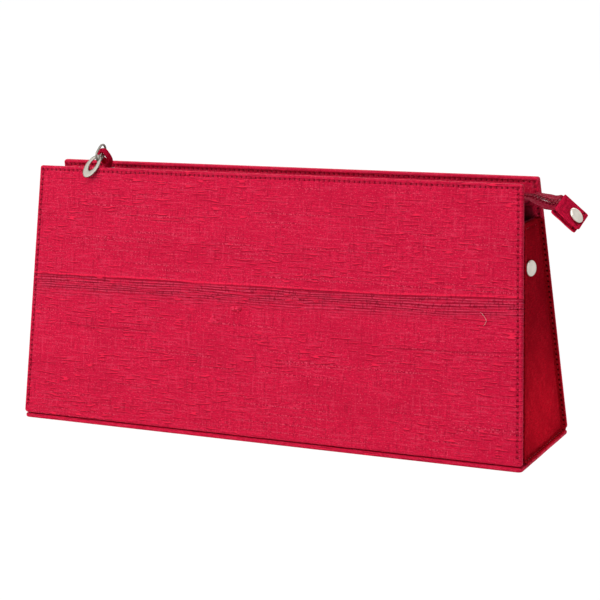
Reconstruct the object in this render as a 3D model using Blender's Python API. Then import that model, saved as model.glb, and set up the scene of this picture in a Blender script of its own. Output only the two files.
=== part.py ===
"""Clutch bag: a stiff A-line silk box with a recessed zip, a zip tail with a snap tab and a ring pull.

Metres, +Z up. The origin is the middle of the underside of the base. The front panel faces -Y, and
the tail of the zip comes out at +X.
"""
import math

import bmesh
import bpy
from mathutils import Matrix, Quaternion, Vector

# The bag's outer shape
HEIGHT = 0.136
TOP_WIDTH = 0.275
BOTTOM_WIDTH = 0.287
TOP_DEPTH = 0.025
BOTTOM_DEPTH = 0.070

# Layers of a panel: silk, board, turned-in silk, lining
FIT = 0.0003
SILK = 0.0005
PANEL_BOARD = 0.0012
BASE_BOARD = 0.0006
LINING = 0.0004
TURN_IN = 0.010

# Panel outline and the stitched edge
TOP_CORNER = 0.0014
FOOT_CORNER = 0.0018
BASE_CORNER = 0.0025
STITCH_INSET = 0.0022
STITCH_GROOVE = 0.0002
GROOVE_HALF = 0.0005
STITCH_FOOT = 0.008
EDGE_PUFF = 0.00015

# Slubs: thick weft threads that stand out of the silk
SLUB_HEIGHT = 0.00016
SLUB_HALF = 0.00045
BAND_CENTRE = 0.0722
BAND_PITCH = 0.0016
BAND_RIBS = 6
LOOSE_SLUBS = 8
LOOSE_HEIGHT = 0.0001
LOOSE_FROM = 0.08
LOOSE_SPAN = 0.86
SLUB_COLUMNS = 9
SPREAD = 0.618034

# Gussets
GUSSET_SHEET = 0.0010
GUSSET_RECESS = 0.0024
FLANGE_PROUD = 0.0007
GUSSET_TOP = 0.1155
GUSSET_CORNER = 0.0045
GUSSET_BOW = 0.0010
GUSSET_FOLD = 0.0008

# Zip
ZIP_BELOW_TOP = 0.008
TAPE = 0.0005
TAPE_FLAP = 0.006
TAPE_END = 0.0035
CHAIN_HALF = 0.0028
SPINE = 0.0009
TOOTH_PITCH = 0.0016
TOOTH_OVERLAP = 0.0009
TOOTH_HEIGHT = 0.0018
TOOTH_CLEAR = 0.00018
TOOTH_SLANT = 0.1

# Tail of the zip, which droops and turns, and its folded tab
TAIL_REACH = 0.0127
TAIL_SIDE = 0.0008
TAIL_DROP = 0.0025
TAIL_LEAD = 0.005
TAIL_HALF = 0.0072
TAB_ALONG = Vector((0.600, 0.401, -0.690))
TAB_ACROSS = Vector((-0.072, 0.879, 0.448))
TAB_LENGTH = 0.0158
TAB_WIDTH = 0.0150
TAB_SKEW = 0.176
TAB_LAYER = 0.0007
TAPE_IN_TAB = 0.006

# Snap fasteners
SNAP_RADIUS = 0.0040
SNAP_DOME = 0.0016
SNAP_RIM = 0.0004
POST_RADIUS = 0.0012
SOCKET_HEIGHT = 0.0018
TAB_SNAP_ALONG = 0.0104
TAB_SNAP_ACROSS = -0.0008
GUSSET_SNAP_Z = 0.0927

# Slider
SLIDER_FROM_END = 0.036
SLIDER_X = SLIDER_FROM_END - TOP_WIDTH / 2
SLIDER_LENGTH = 0.0110
SLIDER_WALL = 0.0009
SLIDER_LIP = 0.0009
SLIDER_SIDE = 0.0004
WEDGE_LENGTH = 0.0030
WEDGE_WIDTH = 0.0018
CROWN_WIRE = 0.0007
CROWN_LENGTH = 0.0078
STOP_LENGTH = 0.0020

# Silk loop, link and ring of the pull
LOOP_THICK = 0.0022
LOOP_WIDE = 0.0034
LOOP_HALF = 0.00265
LOOP_OVER_RIM = 0.0083
LOOP_LEAN = 0.0056
LOOP_TOP = Vector((SLIDER_X, -LOOP_LEAN, HEIGHT + LOOP_OVER_RIM))
LOOP_TURN = math.radians(90)
LOOP_TURNED = 0.6
LOOP_UPRIGHT = 0.2
LINK_WIRE = 0.00055
LINK_REACH = 0.0045
LINK_DROP = math.radians(35)
RING_LENGTH = 0.0142
RING_WIDTH = 0.0084
RING_NEAR = 0.0018
RING_SIDE = 0.0015
RING_FAR = 0.0034
RING_THICK = 0.0008
RING_DROP = math.radians(57)
RING_TURN = math.radians(24)

# Worked out from the sizes above
PANEL = 2 * SILK + 2 * FIT + PANEL_BOARD
BASE = 2 * SILK + 2 * FIT + BASE_BOARD
LEAN = math.atan2((BOTTOM_DEPTH - TOP_DEPTH) / 2, HEIGHT - BASE - FIT)
FOOT = BASE + FIT + PANEL * math.sin(LEAN)
SLOPE = (HEIGHT - FOOT) / math.cos(LEAN)
ZIP_Z = HEIGHT - ZIP_BELOW_TOP
ARC_STEPS = 3


def half_depth(z):
    """Half of the depth between the outer faces of the panels at a height."""
    return BOTTOM_DEPTH / 2 - (z - FOOT) * math.tan(LEAN)


def half_inside(z):
    """Half of the depth between the inner faces of the panels at a height."""
    return half_depth(z) - PANEL / math.cos(LEAN)


def half_width(z):
    """Half of the width of the panels at a height."""
    share = (z - FOOT) / (HEIGHT - FOOT)
    return (BOTTOM_WIDTH + (TOP_WIDTH - BOTTOM_WIDTH) * share) / 2


def lerp(a, b, share):
    return a + (b - a) * share


def smooth(share):
    share = min(max(share, 0.0), 1.0)
    return share * share * (3 - 2 * share)


def clear_scene():
    for item in list(bpy.data.objects):
        bpy.data.objects.remove(item)


def material(name, colour, roughness, metallic=0.0):
    made = bpy.data.materials.new(name)
    made.use_nodes = True
    shader = made.node_tree.nodes["Principled BSDF"]
    shader.inputs["Base Color"].default_value = (*colour, 1.0)
    shader.inputs["Roughness"].default_value = roughness
    shader.inputs["Metallic"].default_value = metallic
    return made


def silk(name):
    return material(name, (0.50, 0.008, 0.045), 0.62)


def dark_silk(name):
    return material(name, (0.40, 0.006, 0.035), 0.65)


def board(name):
    return material(name, (0.45, 0.40, 0.33), 0.9)


def lining(name):
    return material(name, (0.36, 0.01, 0.04), 0.75)


def zip_red(name):
    return material(name, (0.42, 0.006, 0.035), 0.5)


def silver(name):
    return material(name, (0.75, 0.74, 0.70), 0.28, 1.0)


def face_outwards(bm):
    bmesh.ops.recalc_face_normals(bm, faces=bm.faces)
    if bm.calc_volume(signed=True) < 0:
        bmesh.ops.reverse_faces(bm, faces=bm.faces)


def add_object(name, bm, surface, pivot=None, flat=False):
    """Turns a bmesh in world coordinates into an object whose origin is its pivot."""
    face_outwards(bm)
    mesh = bpy.data.meshes.new(name)
    if pivot is not None:
        bmesh.ops.translate(bm, verts=bm.verts, vec=-pivot)
    bm.to_mesh(mesh)
    bm.free()
    mesh.materials.append(surface)
    if not flat:
        mesh.shade_smooth()
        mesh.set_sharp_from_angle(angle=math.radians(40))
    made = bpy.data.objects.new(name, mesh)
    bpy.context.scene.collection.objects.link(made)
    if pivot is not None:
        made.location = pivot
    return made


def carried(obj, name):
    """Hangs an object from an empty that stands on its joint's axis."""
    empty = bpy.data.objects.new(name, None)
    bpy.context.scene.collection.objects.link(empty)
    empty.location = obj.location.copy()
    obj.location = (0, 0, 0)
    obj.parent = empty


def loft(rings, closed=False):
    """Joins rings of equally many points into one closed body."""
    bm = bmesh.new()
    rows = [[bm.verts.new(p) for p in ring] for ring in rings]
    count = len(rows[0])
    pairs = list(zip(rows, rows[1:]))
    if closed:
        pairs.append((rows[-1], rows[0]))
    for low, high in pairs:
        for i in range(count):
            j = (i + 1) % count
            bm.faces.new((low[i], low[j], high[j], high[i]))
    caps = []
    if not closed:
        caps = [bm.faces.new(reversed(rows[0])), bm.faces.new(rows[-1])]
    return bm, caps


def inset_corners(corners, amount):
    """Moves each side of a counter-clockwise polygon inwards."""
    sides = []
    for i, start in enumerate(corners):
        along = (Vector(corners[(i + 1) % len(corners)]) - Vector(start)).normalized()
        inward = Vector((-along.y, along.x))
        sides.append((Vector(start) + inward * amount, along))
    moved = []
    for i, (point, along) in enumerate(sides):
        before, before_along = sides[i - 1]
        cross = before_along.x * along.y - before_along.y * along.x
        gap = point - before
        reach = (gap.x * along.y - gap.y * along.x) / cross
        moved.append(before + before_along * reach)
    return moved


def rounded(corners, radii, steps=ARC_STEPS):
    """The outline of a polygon with its corners rounded, one arc to a corner."""
    outline = []
    for i, corner in enumerate(corners):
        before = (Vector(corners[i - 1]) - corner).normalized()
        after = (Vector(corners[(i + 1) % len(corners)]) - corner).normalized()
        half = before.angle(after) / 2
        centre = corner + (before + after).normalized() * (radii[i] / math.sin(half))
        start = corner + before * (radii[i] / math.tan(half)) - centre
        turn = math.pi - 2 * half
        for step in range(steps + 1):
            angle = turn * step / steps
            outline.append(
                centre
                + Vector(
                    (
                        start.x * math.cos(angle) - start.y * math.sin(angle),
                        start.x * math.sin(angle) + start.y * math.cos(angle),
                    )
                )
            )
    return outline


def panel_outline(inset):
    """A panel's outline in its own plane, with a point on each side where the stitches begin."""
    corners = [
        Vector((-BOTTOM_WIDTH / 2, 0)),
        Vector((BOTTOM_WIDTH / 2, 0)),
        Vector((TOP_WIDTH / 2, SLOPE)),
        Vector((-TOP_WIDTH / 2, SLOPE)),
    ]
    radii = [max(r - inset, FIT) for r in (FOOT_CORNER, FOOT_CORNER, TOP_CORNER, TOP_CORNER)]
    arcs = rounded(inset_corners(corners, inset), radii)
    arc = ARC_STEPS + 1
    right = side_point(arcs[2 * arc - 1], arcs[2 * arc])
    left = side_point(arcs[0], arcs[-1])
    return arcs[: 2 * arc] + [right] + arcs[2 * arc :] + [left]


def side_point(low, high):
    return low.lerp(high, (STITCH_FOOT - low.y) / (high.y - low.y))


def panel_profile():
    """Inset and depth round a wrapped panel, from its outer face to the pocket for the board."""
    return [
        (STITCH_INSET + GROOVE_HALF, 0.0),
        (STITCH_INSET, STITCH_GROOVE),
        (STITCH_INSET - GROOVE_HALF, 0.0),
        (STITCH_INSET / 2, -EDGE_PUFF),
        (SILK, 0.0),
        (0.0, PANEL / 3),
        (0.0, PANEL * 2 / 3),
        (SILK, PANEL),
        (TURN_IN, PANEL),
        (TURN_IN, PANEL - SILK),
        (SILK, PANEL - SILK),
        (SILK, SILK),
    ]


def slub_heights():
    """Places of the thick threads up the panel and how far each stands out."""
    band_foot = BAND_CENTRE - BAND_PITCH * (BAND_RIBS - 1) / 2
    rows = [(band_foot + BAND_PITCH * k, SLUB_HEIGHT) for k in range(BAND_RIBS)]
    for k in range(LOOSE_SLUBS):
        place = SLOPE * (LOOSE_FROM + LOOSE_SPAN * (k * SPREAD % 1.0))
        if abs(place - BAND_CENTRE) > BAND_PITCH * BAND_RIBS:
            rows.append((place, LOOSE_HEIGHT))
    return rows


def weave_slubs(bm, face):
    """Cuts an outer face into strips and raises the threads that stand out of the silk."""
    part = [face] + list(face.edges) + list(face.verts)
    rim = set(face.verts)
    rows = slub_heights()
    cuts = []
    for place, _ in rows:
        for side in (-1, 0, 1):
            cuts.append((Vector((0, place + side * SLUB_HALF, 0)), Vector((0, 1, 0))))
    width = BOTTOM_WIDTH / SLUB_COLUMNS
    for k in range(1, SLUB_COLUMNS):
        cuts.append((Vector((k * width - BOTTOM_WIDTH / 2, 0, 0)), Vector((1, 0, 0))))
    for point, normal in cuts:
        cut = bmesh.ops.bisect_plane(bm, geom=part, dist=1e-7, plane_co=point, plane_no=normal)
        part = cut["geom"]
    faces = {f for f in part if isinstance(f, bmesh.types.BMFace)}
    inner = {v for f in faces for v in f.verts if all(g in faces for g in v.link_faces)}
    for vert in inner - rim:
        for place, height in rows:
            if abs(vert.co.y - place) < SLUB_HALF / 4:
                wave = 0.6 + 0.4 * math.sin(vert.co.x * 61.0 + place * 2300.0)
                vert.co.z += height * wave


def panel_place(side):
    """Moves a panel from its own plane (x, up the slope, out of the face) to its place in the bag."""
    tilt = Matrix.Rotation(math.pi / 2 - LEAN, 4, "X")
    stand = Matrix.Translation((0, -BOTTOM_DEPTH / 2, FOOT)) @ tilt
    if side > 0:
        return Matrix.Rotation(math.pi, 4, "Z") @ stand
    return stand


def front_and_back():
    return (("front", -1), ("back", 1))


def make_panel_covers():
    for name, side in front_and_back():
        rings = []
        for inset, depth in panel_profile():
            stitched = inset == STITCH_INSET
            ring = []
            for p in panel_outline(inset):
                flat_foot = stitched and p.y < STITCH_FOOT - FIT
                ring.append((p.x, p.y, 0.0 if flat_foot else -depth))
            rings.append(ring)
        bm, caps = loft(rings)
        weave_slubs(bm, caps[0])
        bm.transform(panel_place(side))
        add_object(name + "_cover", bm, silk(name + "_cover"))


def make_panel_boards():
    inset = SILK + FIT
    for name, side in front_and_back():
        rings = [[(p.x, p.y, -depth) for p in panel_outline(inset)] for depth in (inset, PANEL - inset)]
        bm, _ = loft(rings)
        bm.transform(panel_place(side))
        add_object(name + "_board", bm, board(name + "_board"))


def lining_side(z):
    """How far a lining reaches to the side, short of the gusset's lining."""
    return half_width(z) - GUSSET_RECESS - GUSSET_SHEET - LINING - 2 * FIT


def make_panel_linings():
    low = 3 * FIT
    high = (ZIP_Z - TAPE_FLAP - 2 * FIT - FOOT) / math.cos(LEAN)
    corners = [
        Vector((-lining_side(FOOT), low)),
        Vector((lining_side(FOOT), low)),
        Vector((lining_side(ZIP_Z), high)),
        Vector((-lining_side(ZIP_Z), high)),
    ]
    for name, side in front_and_back():
        outline = rounded(corners, [TOP_CORNER] * 4)
        depths = (PANEL + FIT, PANEL + FIT + LINING)
        bm, _ = loft([[(p.x, p.y, -depth) for p in outline] for depth in depths])
        bm.transform(panel_place(side))
        add_object(name + "_lining", bm, lining(name + "_lining"))


def base_ring(inset, z):
    x = BOTTOM_WIDTH / 2
    y = BOTTOM_DEPTH / 2
    corners = [Vector((-x, -y)), Vector((x, -y)), Vector((x, y)), Vector((-x, y))]
    outline = rounded(inset_corners(corners, inset), [max(BASE_CORNER - inset, FIT)] * 4)
    return [(p.x, p.y, z) for p in outline]


def make_base():
    profile = [
        (2 * SILK, 0.0),
        (SILK / 2, SILK / 2),
        (0.0, BASE / 3),
        (0.0, BASE * 2 / 3),
        (SILK / 2, BASE - SILK / 2),
        (2 * SILK, BASE),
        (TURN_IN, BASE),
        (TURN_IN, BASE - SILK),
        (SILK, BASE - SILK),
        (SILK, SILK),
    ]
    bm, _ = loft([base_ring(inset, z) for inset, z in profile])
    add_object("base_cover", bm, silk("base_cover"))

    inset = SILK + FIT
    bm, _ = loft([base_ring(inset, z) for z in (inset, BASE - inset)])
    add_object("base_board", bm, board("base_board"))

    z = BASE + FIT
    side = lining_side(FOOT)
    reach = half_inside(z) - 3 * FIT - 2 * LINING
    corners = [Vector((-side, -reach)), Vector((side, -reach)), Vector((side, reach)), Vector((-side, reach))]
    outline = rounded(corners, [TOP_CORNER] * 4)
    bm, _ = loft([[(p.x, p.y, h) for p in outline] for h in (z, z + LINING)])
    add_object("base_lining", bm, lining("base_lining"))


def gusset_bow(y, z):
    """How far the gusset sinks into the bag, most in the middle of its top edge."""
    across = 1 - min(abs(y) / half_inside(z), 1.0) ** 2
    return GUSSET_BOW * across * smooth(z / GUSSET_TOP)


def gusset_x(y, z):
    """The outer face of the gusset's web, on the right of the bag."""
    return half_width(z) - GUSSET_RECESS - gusset_bow(y, z)


def gusset_edge(foot, gap):
    """One edge of a gusset, from its top down round the corner at its foot, as (half depth, z)."""
    top_half = half_inside(GUSSET_TOP) - gap
    foot_half = half_inside(foot) - gap
    corners = [
        Vector((-foot_half, foot)),
        Vector((foot_half, foot)),
        Vector((top_half, GUSSET_TOP)),
        Vector((-top_half, GUSSET_TOP)),
    ]
    arcs = rounded(corners, [GUSSET_CORNER] * 4)
    corner = [(p.x, p.y) for p in reversed(arcs[ARC_STEPS + 1 : 2 * ARC_STEPS + 2])]
    rows = 7
    straight = []
    for k in range(rows):
        z = lerp(GUSSET_TOP, corner[0][1], k / rows)
        straight.append((half_inside(z) - gap, z))
    return straight + corner


def gusset_web_columns():
    count = 8
    return [-1 + 2 * k / count for k in range(count + 1)]


def weld_grid(bm, grid):
    rows = [[bm.verts.new(p) for p in row] for row in grid]
    for low, high in zip(rows, rows[1:]):
        for i in range(len(low) - 1):
            bm.faces.new((low[i], low[i + 1], high[i + 1], high[i]))


def sheet_object(name, bm, surface, outwards, thickness):
    """Thickens an open sheet towards one side of the bag."""
    bmesh.ops.remove_doubles(bm, verts=bm.verts, dist=1e-6)
    bmesh.ops.recalc_face_normals(bm, faces=bm.faces)
    web = max(bm.faces, key=lambda f: abs(f.normal.x) * f.calc_area())
    if web.normal.x * outwards < 0:
        bmesh.ops.reverse_faces(bm, faces=bm.faces)
    bmesh.ops.triangulate(bm, faces=bm.faces)
    mesh = bpy.data.meshes.new(name)
    bm.to_mesh(mesh)
    bm.free()
    mesh.materials.append(surface)
    made = bpy.data.objects.new(name, mesh)
    bpy.context.scene.collection.objects.link(made)
    thick = made.modifiers.new("thickness", "SOLIDIFY")
    thick.thickness = thickness
    thick.offset = 1
    return made


def make_gusset(name, side):
    """A dished side piece: a web between the panels, with flanges turned out on three edges."""
    edge = gusset_edge(BASE + FIT, FIT)
    bm = bmesh.new()
    back = GUSSET_RECESS + GUSSET_SHEET

    def flange_x(z):
        side_edge = half_width(z)
        return (side_edge + FLANGE_PROUD, side_edge - GUSSET_RECESS / 2, side_edge - back + GUSSET_FOLD)

    for hand in (-1, 1):
        grid = [[(side * x, hand * y, z) for x in flange_x(z)] for y, z in edge]
        weld_grid(bm, grid)
        fold = []
        for k, (y, z) in enumerate(edge):
            lift = GUSSET_FOLD if k == len(edge) - 1 else 0.0
            near = (side * (half_width(z) - back + GUSSET_FOLD), hand * y, z)
            x = gusset_x(y - GUSSET_FOLD, z + lift) - GUSSET_SHEET
            far = (side * x, hand * (y - GUSSET_FOLD), z + lift)
            fold.append((near, far))
        weld_grid(bm, fold)
    web = []
    for k, (y, z) in enumerate(edge):
        lift = GUSSET_FOLD if k == len(edge) - 1 else 0.0
        row = []
        for share in gusset_web_columns():
            across = share * (y - GUSSET_FOLD)
            x = gusset_x(across, z + lift) - GUSSET_SHEET
            row.append((side * x, across, z + lift))
        web.append(row)
    weld_grid(bm, web)
    y, z = edge[-1]
    foot = [web[-1]]
    for x in reversed(flange_x(z)):
        foot.append([(side * x, share * y, z) for share in gusset_web_columns()])
    weld_grid(bm, foot)
    return sheet_object(name, bm, dark_silk(name), side, GUSSET_SHEET)


def make_gusset_lining(name, side):
    """The lining behind a gusset's web."""
    foot = BASE + 2 * FIT + LINING + FIT
    edge = gusset_edge(foot, 3 * FIT + LINING)
    bm = bmesh.new()
    grid = []
    for y, z in edge:
        row = []
        for share in gusset_web_columns():
            x = gusset_x(share * y, z) - GUSSET_SHEET - FIT - LINING
            row.append((side * x, share * y, z))
        grid.append(row)
    weld_grid(bm, grid)
    return sheet_object(name, bm, lining(name), side, LINING)


def hide_tool(obj):
    obj.hide_render = True
    obj.display_type = "WIRE"


def combine(obj, tool, operation):
    hide_tool(tool)
    step = obj.modifiers.new(operation.lower(), "BOOLEAN")
    step.operation = operation
    step.object = tool
    step.solver = "EXACT"


def turned(name, profile, place, surface, segments=24, closed=False):
    """A turned piece: (radius, height) points about the Z axis of a frame."""
    rings = []
    for radius, height in profile:
        ring = []
        for k in range(segments):
            angle = 2 * math.pi * k / segments
            ring.append(place @ Vector((radius * math.cos(angle), radius * math.sin(angle), height)))
        rings.append(ring)
    bm, _ = loft(rings, closed=closed)
    return add_object(name, bm, surface)


def snap_cap(name, place, post):
    """A domed cap with a post that goes through the cloth."""
    profile = [(POST_RADIUS, -post), (POST_RADIUS, 0.0), (SNAP_RADIUS, 0.0), (SNAP_RADIUS, SNAP_RIM)]
    steps = 6
    for k in range(1, steps):
        angle = math.pi / 2 * k / steps
        radius = SNAP_RADIUS * math.cos(angle)
        profile.append((radius, SNAP_RIM + (SNAP_DOME - SNAP_RIM) * math.sin(angle)))
    profile.append((SNAP_RADIUS * 0.05, SNAP_DOME))
    return turned(name, profile, place, silver(name))


def snap_socket(name, place, height):
    """A ring that grips the post, with a wider mouth that faces away from the cloth."""
    bore = POST_RADIUS + FIT
    mouth = SNAP_RADIUS * 0.55
    roof = height * 0.4
    profile = [
        (bore, 0.0),
        (SNAP_RADIUS - SNAP_RIM, 0.0),
        (SNAP_RADIUS, -SNAP_RIM),
        (SNAP_RADIUS, -height + SNAP_RIM),
        (SNAP_RADIUS - SNAP_RIM, -height),
        (mouth, -height),
        (mouth, -roof),
        (bore, -roof),
    ]
    return turned(name, profile, place, silver(name), closed=True)


def post_hole(obj, place, depth):
    """Cuts the hole that a snap's post goes through."""
    radius = POST_RADIUS + FIT
    profile = [(radius, -depth), (radius, depth)]
    tool = turned(obj.name + "_post_hole", profile, place, silver("tool"), segments=16)
    combine(obj, tool, "DIFFERENCE")


def make_gussets():
    for name, side in (("right", 1), ("left", -1)):
        web = make_gusset("gusset_" + name, side)
        inner = make_gusset_lining("gusset_lining_" + name, side)
        if side > 0:
            make_gusset_snap(web, inner)


def make_gusset_snap(web, inner):
    """The snap on the right gusset, which the tab on the tail of the zip reaches."""
    face = gusset_x(0, GUSSET_SNAP_Z)
    step = 0.002
    rise = gusset_x(0, GUSSET_SNAP_Z + step) - gusset_x(0, GUSSET_SNAP_Z - step)
    tilt = math.atan2(rise, 2 * step)
    place = Matrix.Translation((face, 0, GUSSET_SNAP_Z)) @ Matrix.Rotation(math.pi / 2 + tilt, 4, "Y")
    layers = GUSSET_SHEET + LINING + 2 * FIT
    back_height = SOCKET_HEIGHT / 2
    snap_cap("gusset_snap_cap", place @ Matrix.Translation((0, 0, FIT)), layers + FIT + back_height / 2)
    snap_socket("gusset_snap_back", place @ Matrix.Translation((0, 0, -layers)), back_height)
    for piece in (web, inner):
        post_hole(piece, place, 2 * layers)


def tail_start():
    return half_width(ZIP_Z)


def tail_frame():
    """Turns the zip's own axes (along, across, out of its face) into the tab's."""
    along = TAB_ALONG.normalized()
    across = (TAB_ACROSS - along * TAB_ACROSS.dot(along)).normalized()
    out = along.cross(across)
    return Matrix((along, across, out)).transposed()


def tail_points():
    """The tail's centre line, from the end of the bag to the tab, as an even run of points."""
    start = Vector((tail_start(), 0, ZIP_Z))
    end = start + Vector((TAIL_REACH, TAIL_SIDE, -TAIL_DROP))
    pull = TAIL_REACH * 0.4
    first = start + Vector((pull, 0, 0))
    second = end - TAB_ALONG.normalized() * pull
    points = []
    steps = 40
    for k in range(steps + 1):
        t = k / steps
        a = start.lerp(first, t)
        b = first.lerp(second, t)
        c = second.lerp(end, t)
        points.append(a.lerp(b, t).lerp(b.lerp(c, t), t))
    return points


TAIL_LINE = tail_points()
TAIL_LENGTH = sum((b - a).length for a, b in zip(TAIL_LINE, TAIL_LINE[1:]))


def zip_place(s):
    """The point on the zip's centre line at a length s (x inside the bag), and its axes there."""
    run = s - tail_start()
    share = min(max((run + TAIL_LEAD) / (TAIL_LENGTH + TAIL_LEAD), 0.0), 1.0)
    turn = Quaternion().slerp(tail_frame().to_quaternion(), share)
    if run <= 0:
        return Vector((s, 0, ZIP_Z)), turn.to_matrix()
    if run >= TAIL_LENGTH:
        end = TAIL_LINE[-1] + TAB_ALONG.normalized() * (run - TAIL_LENGTH)
        return end, tail_frame()
    for a, b in zip(TAIL_LINE, TAIL_LINE[1:]):
        step = (b - a).length
        if run <= step:
            return a.lerp(b, run / step), turn.to_matrix()
        run -= step
    return TAIL_LINE[-1], turn.to_matrix()


def on_zip(s, across, out):
    point, axes = zip_place(s)
    return point + axes @ Vector((0, across, out))


def slider_left():
    return SLIDER_X - SLIDER_LENGTH / 2


def tape_section(s):
    """Half of the tape's section: inner edge, fold and the flap that is glued to the panel."""
    start = tail_start()
    near = CHAIN_HALF + FIT
    stop = slider_left() - 2 * STOP_LENGTH
    near = lerp(near, FIT, smooth((stop - s) / (4 * STOP_LENGTH)))
    seat = FIT + TAPE / 2
    bend = TAPE
    body = [
        (near, 0.0),
        (half_inside(ZIP_Z) - seat - bend, 0.0),
        (half_inside(ZIP_Z - bend) - seat, -bend),
        (half_inside(ZIP_Z - TAPE_FLAP) - seat, -TAPE_FLAP),
    ]
    in_tab = TAB_WIDTH / 2 - TAB_LAYER - 2 * FIT
    narrowed = smooth((s - start - TAIL_LENGTH + TAPE_IN_TAB) / (TAPE_IN_TAB - 2 * TAB_SKEW * in_tab))
    half = lerp(TAIL_HALF, in_tab, narrowed)
    strip = (half - near) / (len(body) - 1)
    tail = [(near + strip * k, 0.0) for k in range(len(body))]
    share = smooth((s - start + 2 * TAPE_END) / (2 * TAPE_END))
    return [(lerp(a[0], b[0], share), lerp(a[1], b[1], share)) for a, b in zip(body, tail)]


def tape_stations():
    start = tail_start()
    stop = slider_left() - 2 * STOP_LENGTH
    reach = 4 * STOP_LENGTH
    places = [TAPE_END - start, stop - reach, stop - reach / 2, stop, start - 2 * TAPE_END]
    places += [start - TAIL_LEAD, start - TAPE_END, start]
    bends = 8
    places += [start + TAIL_LENGTH * k / bends for k in range(1, bends + 1)]
    places.append(start + TAIL_LENGTH + TAPE_IN_TAB)
    return places


def make_tapes():
    for name, side in front_and_back():
        rings = []
        for s in tape_stations():
            section = tape_section(s)
            rings.append([on_zip(s, side * across, out) for across, out in thicken(section, TAPE)])
        bm, _ = loft(rings)
        bmesh.ops.triangulate(bm, faces=bm.faces)
        add_object("zip_tape_" + name, bm, zip_red("zip_tape_" + name))


def thicken(line, thickness):
    """Turns an open line into a closed strip outline of even thickness."""
    points = [Vector(p) for p in line]
    above, below = [], []
    for k, point in enumerate(points):
        ways = []
        if k > 0:
            ways.append((point - points[k - 1]).normalized())
        if k < len(points) - 1:
            ways.append((points[k + 1] - point).normalized())
        along = sum(ways, Vector((0, 0))).normalized()
        out = Vector((-along.y, along.x))
        stretch = 1 / max(along.dot(ways[0]), 0.5)
        above.append(point + out * thickness / 2 * stretch)
        below.append(point - out * thickness / 2 * stretch)
    return above + below[::-1]


def chain_start():
    return slider_left() + WEDGE_LENGTH + 2 * FIT


def tooth_outline(start, count, shift):
    """The toothed inner edge of one row, as (length, across) points, four to a tooth."""
    root = CHAIN_HALF - SPINE
    wide = TOOTH_PITCH / 2 - TOOTH_CLEAR
    points = []
    for k in range(count):
        s = start + (k + shift) * TOOTH_PITCH
        slant = wide * TOOTH_SLANT
        tip = [(s + slant, -TOOTH_OVERLAP), (s + wide - slant, -TOOTH_OVERLAP)]
        points.append([(s, root)] + tip + [(s + wide, root)])
    return points


def make_teeth():
    """Two combs that mesh, one on each tape, closed from the slider to the tab."""
    start = chain_start()
    finish = tail_start() + TAIL_LENGTH - 2 * FIT - TAB_SKEW * CHAIN_HALF
    count = int((finish - start) / TOOTH_PITCH - 0.5)
    for name, side in front_and_back():
        shift = 0.0 if side < 0 else 0.5
        outlines = comb_outlines(tooth_outline(start, count, shift), start)
        bm = comb(outlines, side)
        add_object("zip_teeth_" + name, bm, zip_red("zip_teeth_" + name), flat=True)


def comb_outlines(teeth, start):
    """Outlines of a comb seen from above: one along the bag, then one to a tooth round the tail."""
    root = CHAIN_HALF - SPINE
    twist = tail_start() - TAIL_LEAD
    straight = [tooth for tooth in teeth if tooth[-1][0] < twist - TOOTH_PITCH]
    groups = [[point for tooth in straight for point in tooth]] + teeth[len(straight) :]
    outlines = []
    for index, group in enumerate(groups):
        left = min(start, group[0][0]) if index == 0 else group[0][0]
        last = index + 1 == len(groups)
        right = group[-1][0] + TOOTH_CLEAR if last else groups[index + 1][0][0]
        inner = group + [(right, root)]
        if left < group[0][0]:
            inner = [(left, root)] + inner
        outlines.append([(left, CHAIN_HALF)] + inner + [(right, CHAIN_HALF)])
    return outlines


def comb(outlines, side):
    """Gives the comb's outlines their thickness and closes the rim."""
    bm = bmesh.new()
    layers = []
    for out in (-TOOTH_HEIGHT / 2, TOOTH_HEIGHT / 2):
        layer = {}
        for s, across in (point for outline in outlines for point in outline):
            if (s, across) not in layer:
                layer[(s, across)] = bm.verts.new(on_zip(s, side * across, out))
        layers.append(layer)
    low, high = layers
    edges = set()
    for outline in outlines:
        bm.faces.new([low[point] for point in outline])
        bm.faces.new([high[point] for point in reversed(outline)])
        edges ^= {frozenset(pair) for pair in zip(outline, outline[1:] + outline[:1])}
    for a, b in (tuple(edge) for edge in sorted(edges, key=sorted)):
        bm.faces.new((low[a], low[b], high[b], high[a]))
    return bm


def make_tab():
    """The folded silk tab: two layers with the tape between them, open along one side."""
    frame = tail_frame().to_4x4()
    place = Matrix.Translation(TAIL_LINE[-1]) @ frame
    above = TAPE / 2 + FIT
    below = above
    half = TAB_WIDTH / 2
    outer_bend = (above + below) / 2 + TAB_LAYER
    middle = (above - below) / 2
    outline = [Vector((-half, above + TAB_LAYER))]
    outline += bend(half - outer_bend, middle, outer_bend)
    outline += [Vector((-half, -below - TAB_LAYER)), Vector((-half, -below))]
    outline += bend(half - outer_bend, middle, outer_bend - TAB_LAYER)[::-1]
    outline.append(Vector((-half, above)))
    ends = (0.0, TAB_LENGTH)
    rings = [[place @ Vector((s + TAB_SKEW * p.x, p.x, p.y)) for p in outline] for s in ends]
    bm, _ = loft(rings)
    tab = add_object("zip_end_tab", bm, silk("zip_end_tab"))
    top = above + TAB_LAYER
    spot = place @ Matrix.Translation((TAB_SNAP_ALONG, TAB_SNAP_ACROSS, top))
    layers = above + below + 2 * TAB_LAYER
    snap_cap("tab_snap_cap", spot @ Matrix.Translation((0, 0, FIT)), layers + 2 * FIT + SOCKET_HEIGHT * 0.6)
    snap_socket("tab_snap_socket", spot @ Matrix.Translation((0, 0, -layers - FIT)), SOCKET_HEIGHT)
    post_hole(tab, spot, 2 * layers)


def bend(centre, middle, radius):
    steps = 6
    return [
        Vector((centre + radius * math.sin(math.pi * k / steps), middle + radius * math.cos(math.pi * k / steps)))
        for k in range(steps + 1)
    ]


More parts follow.
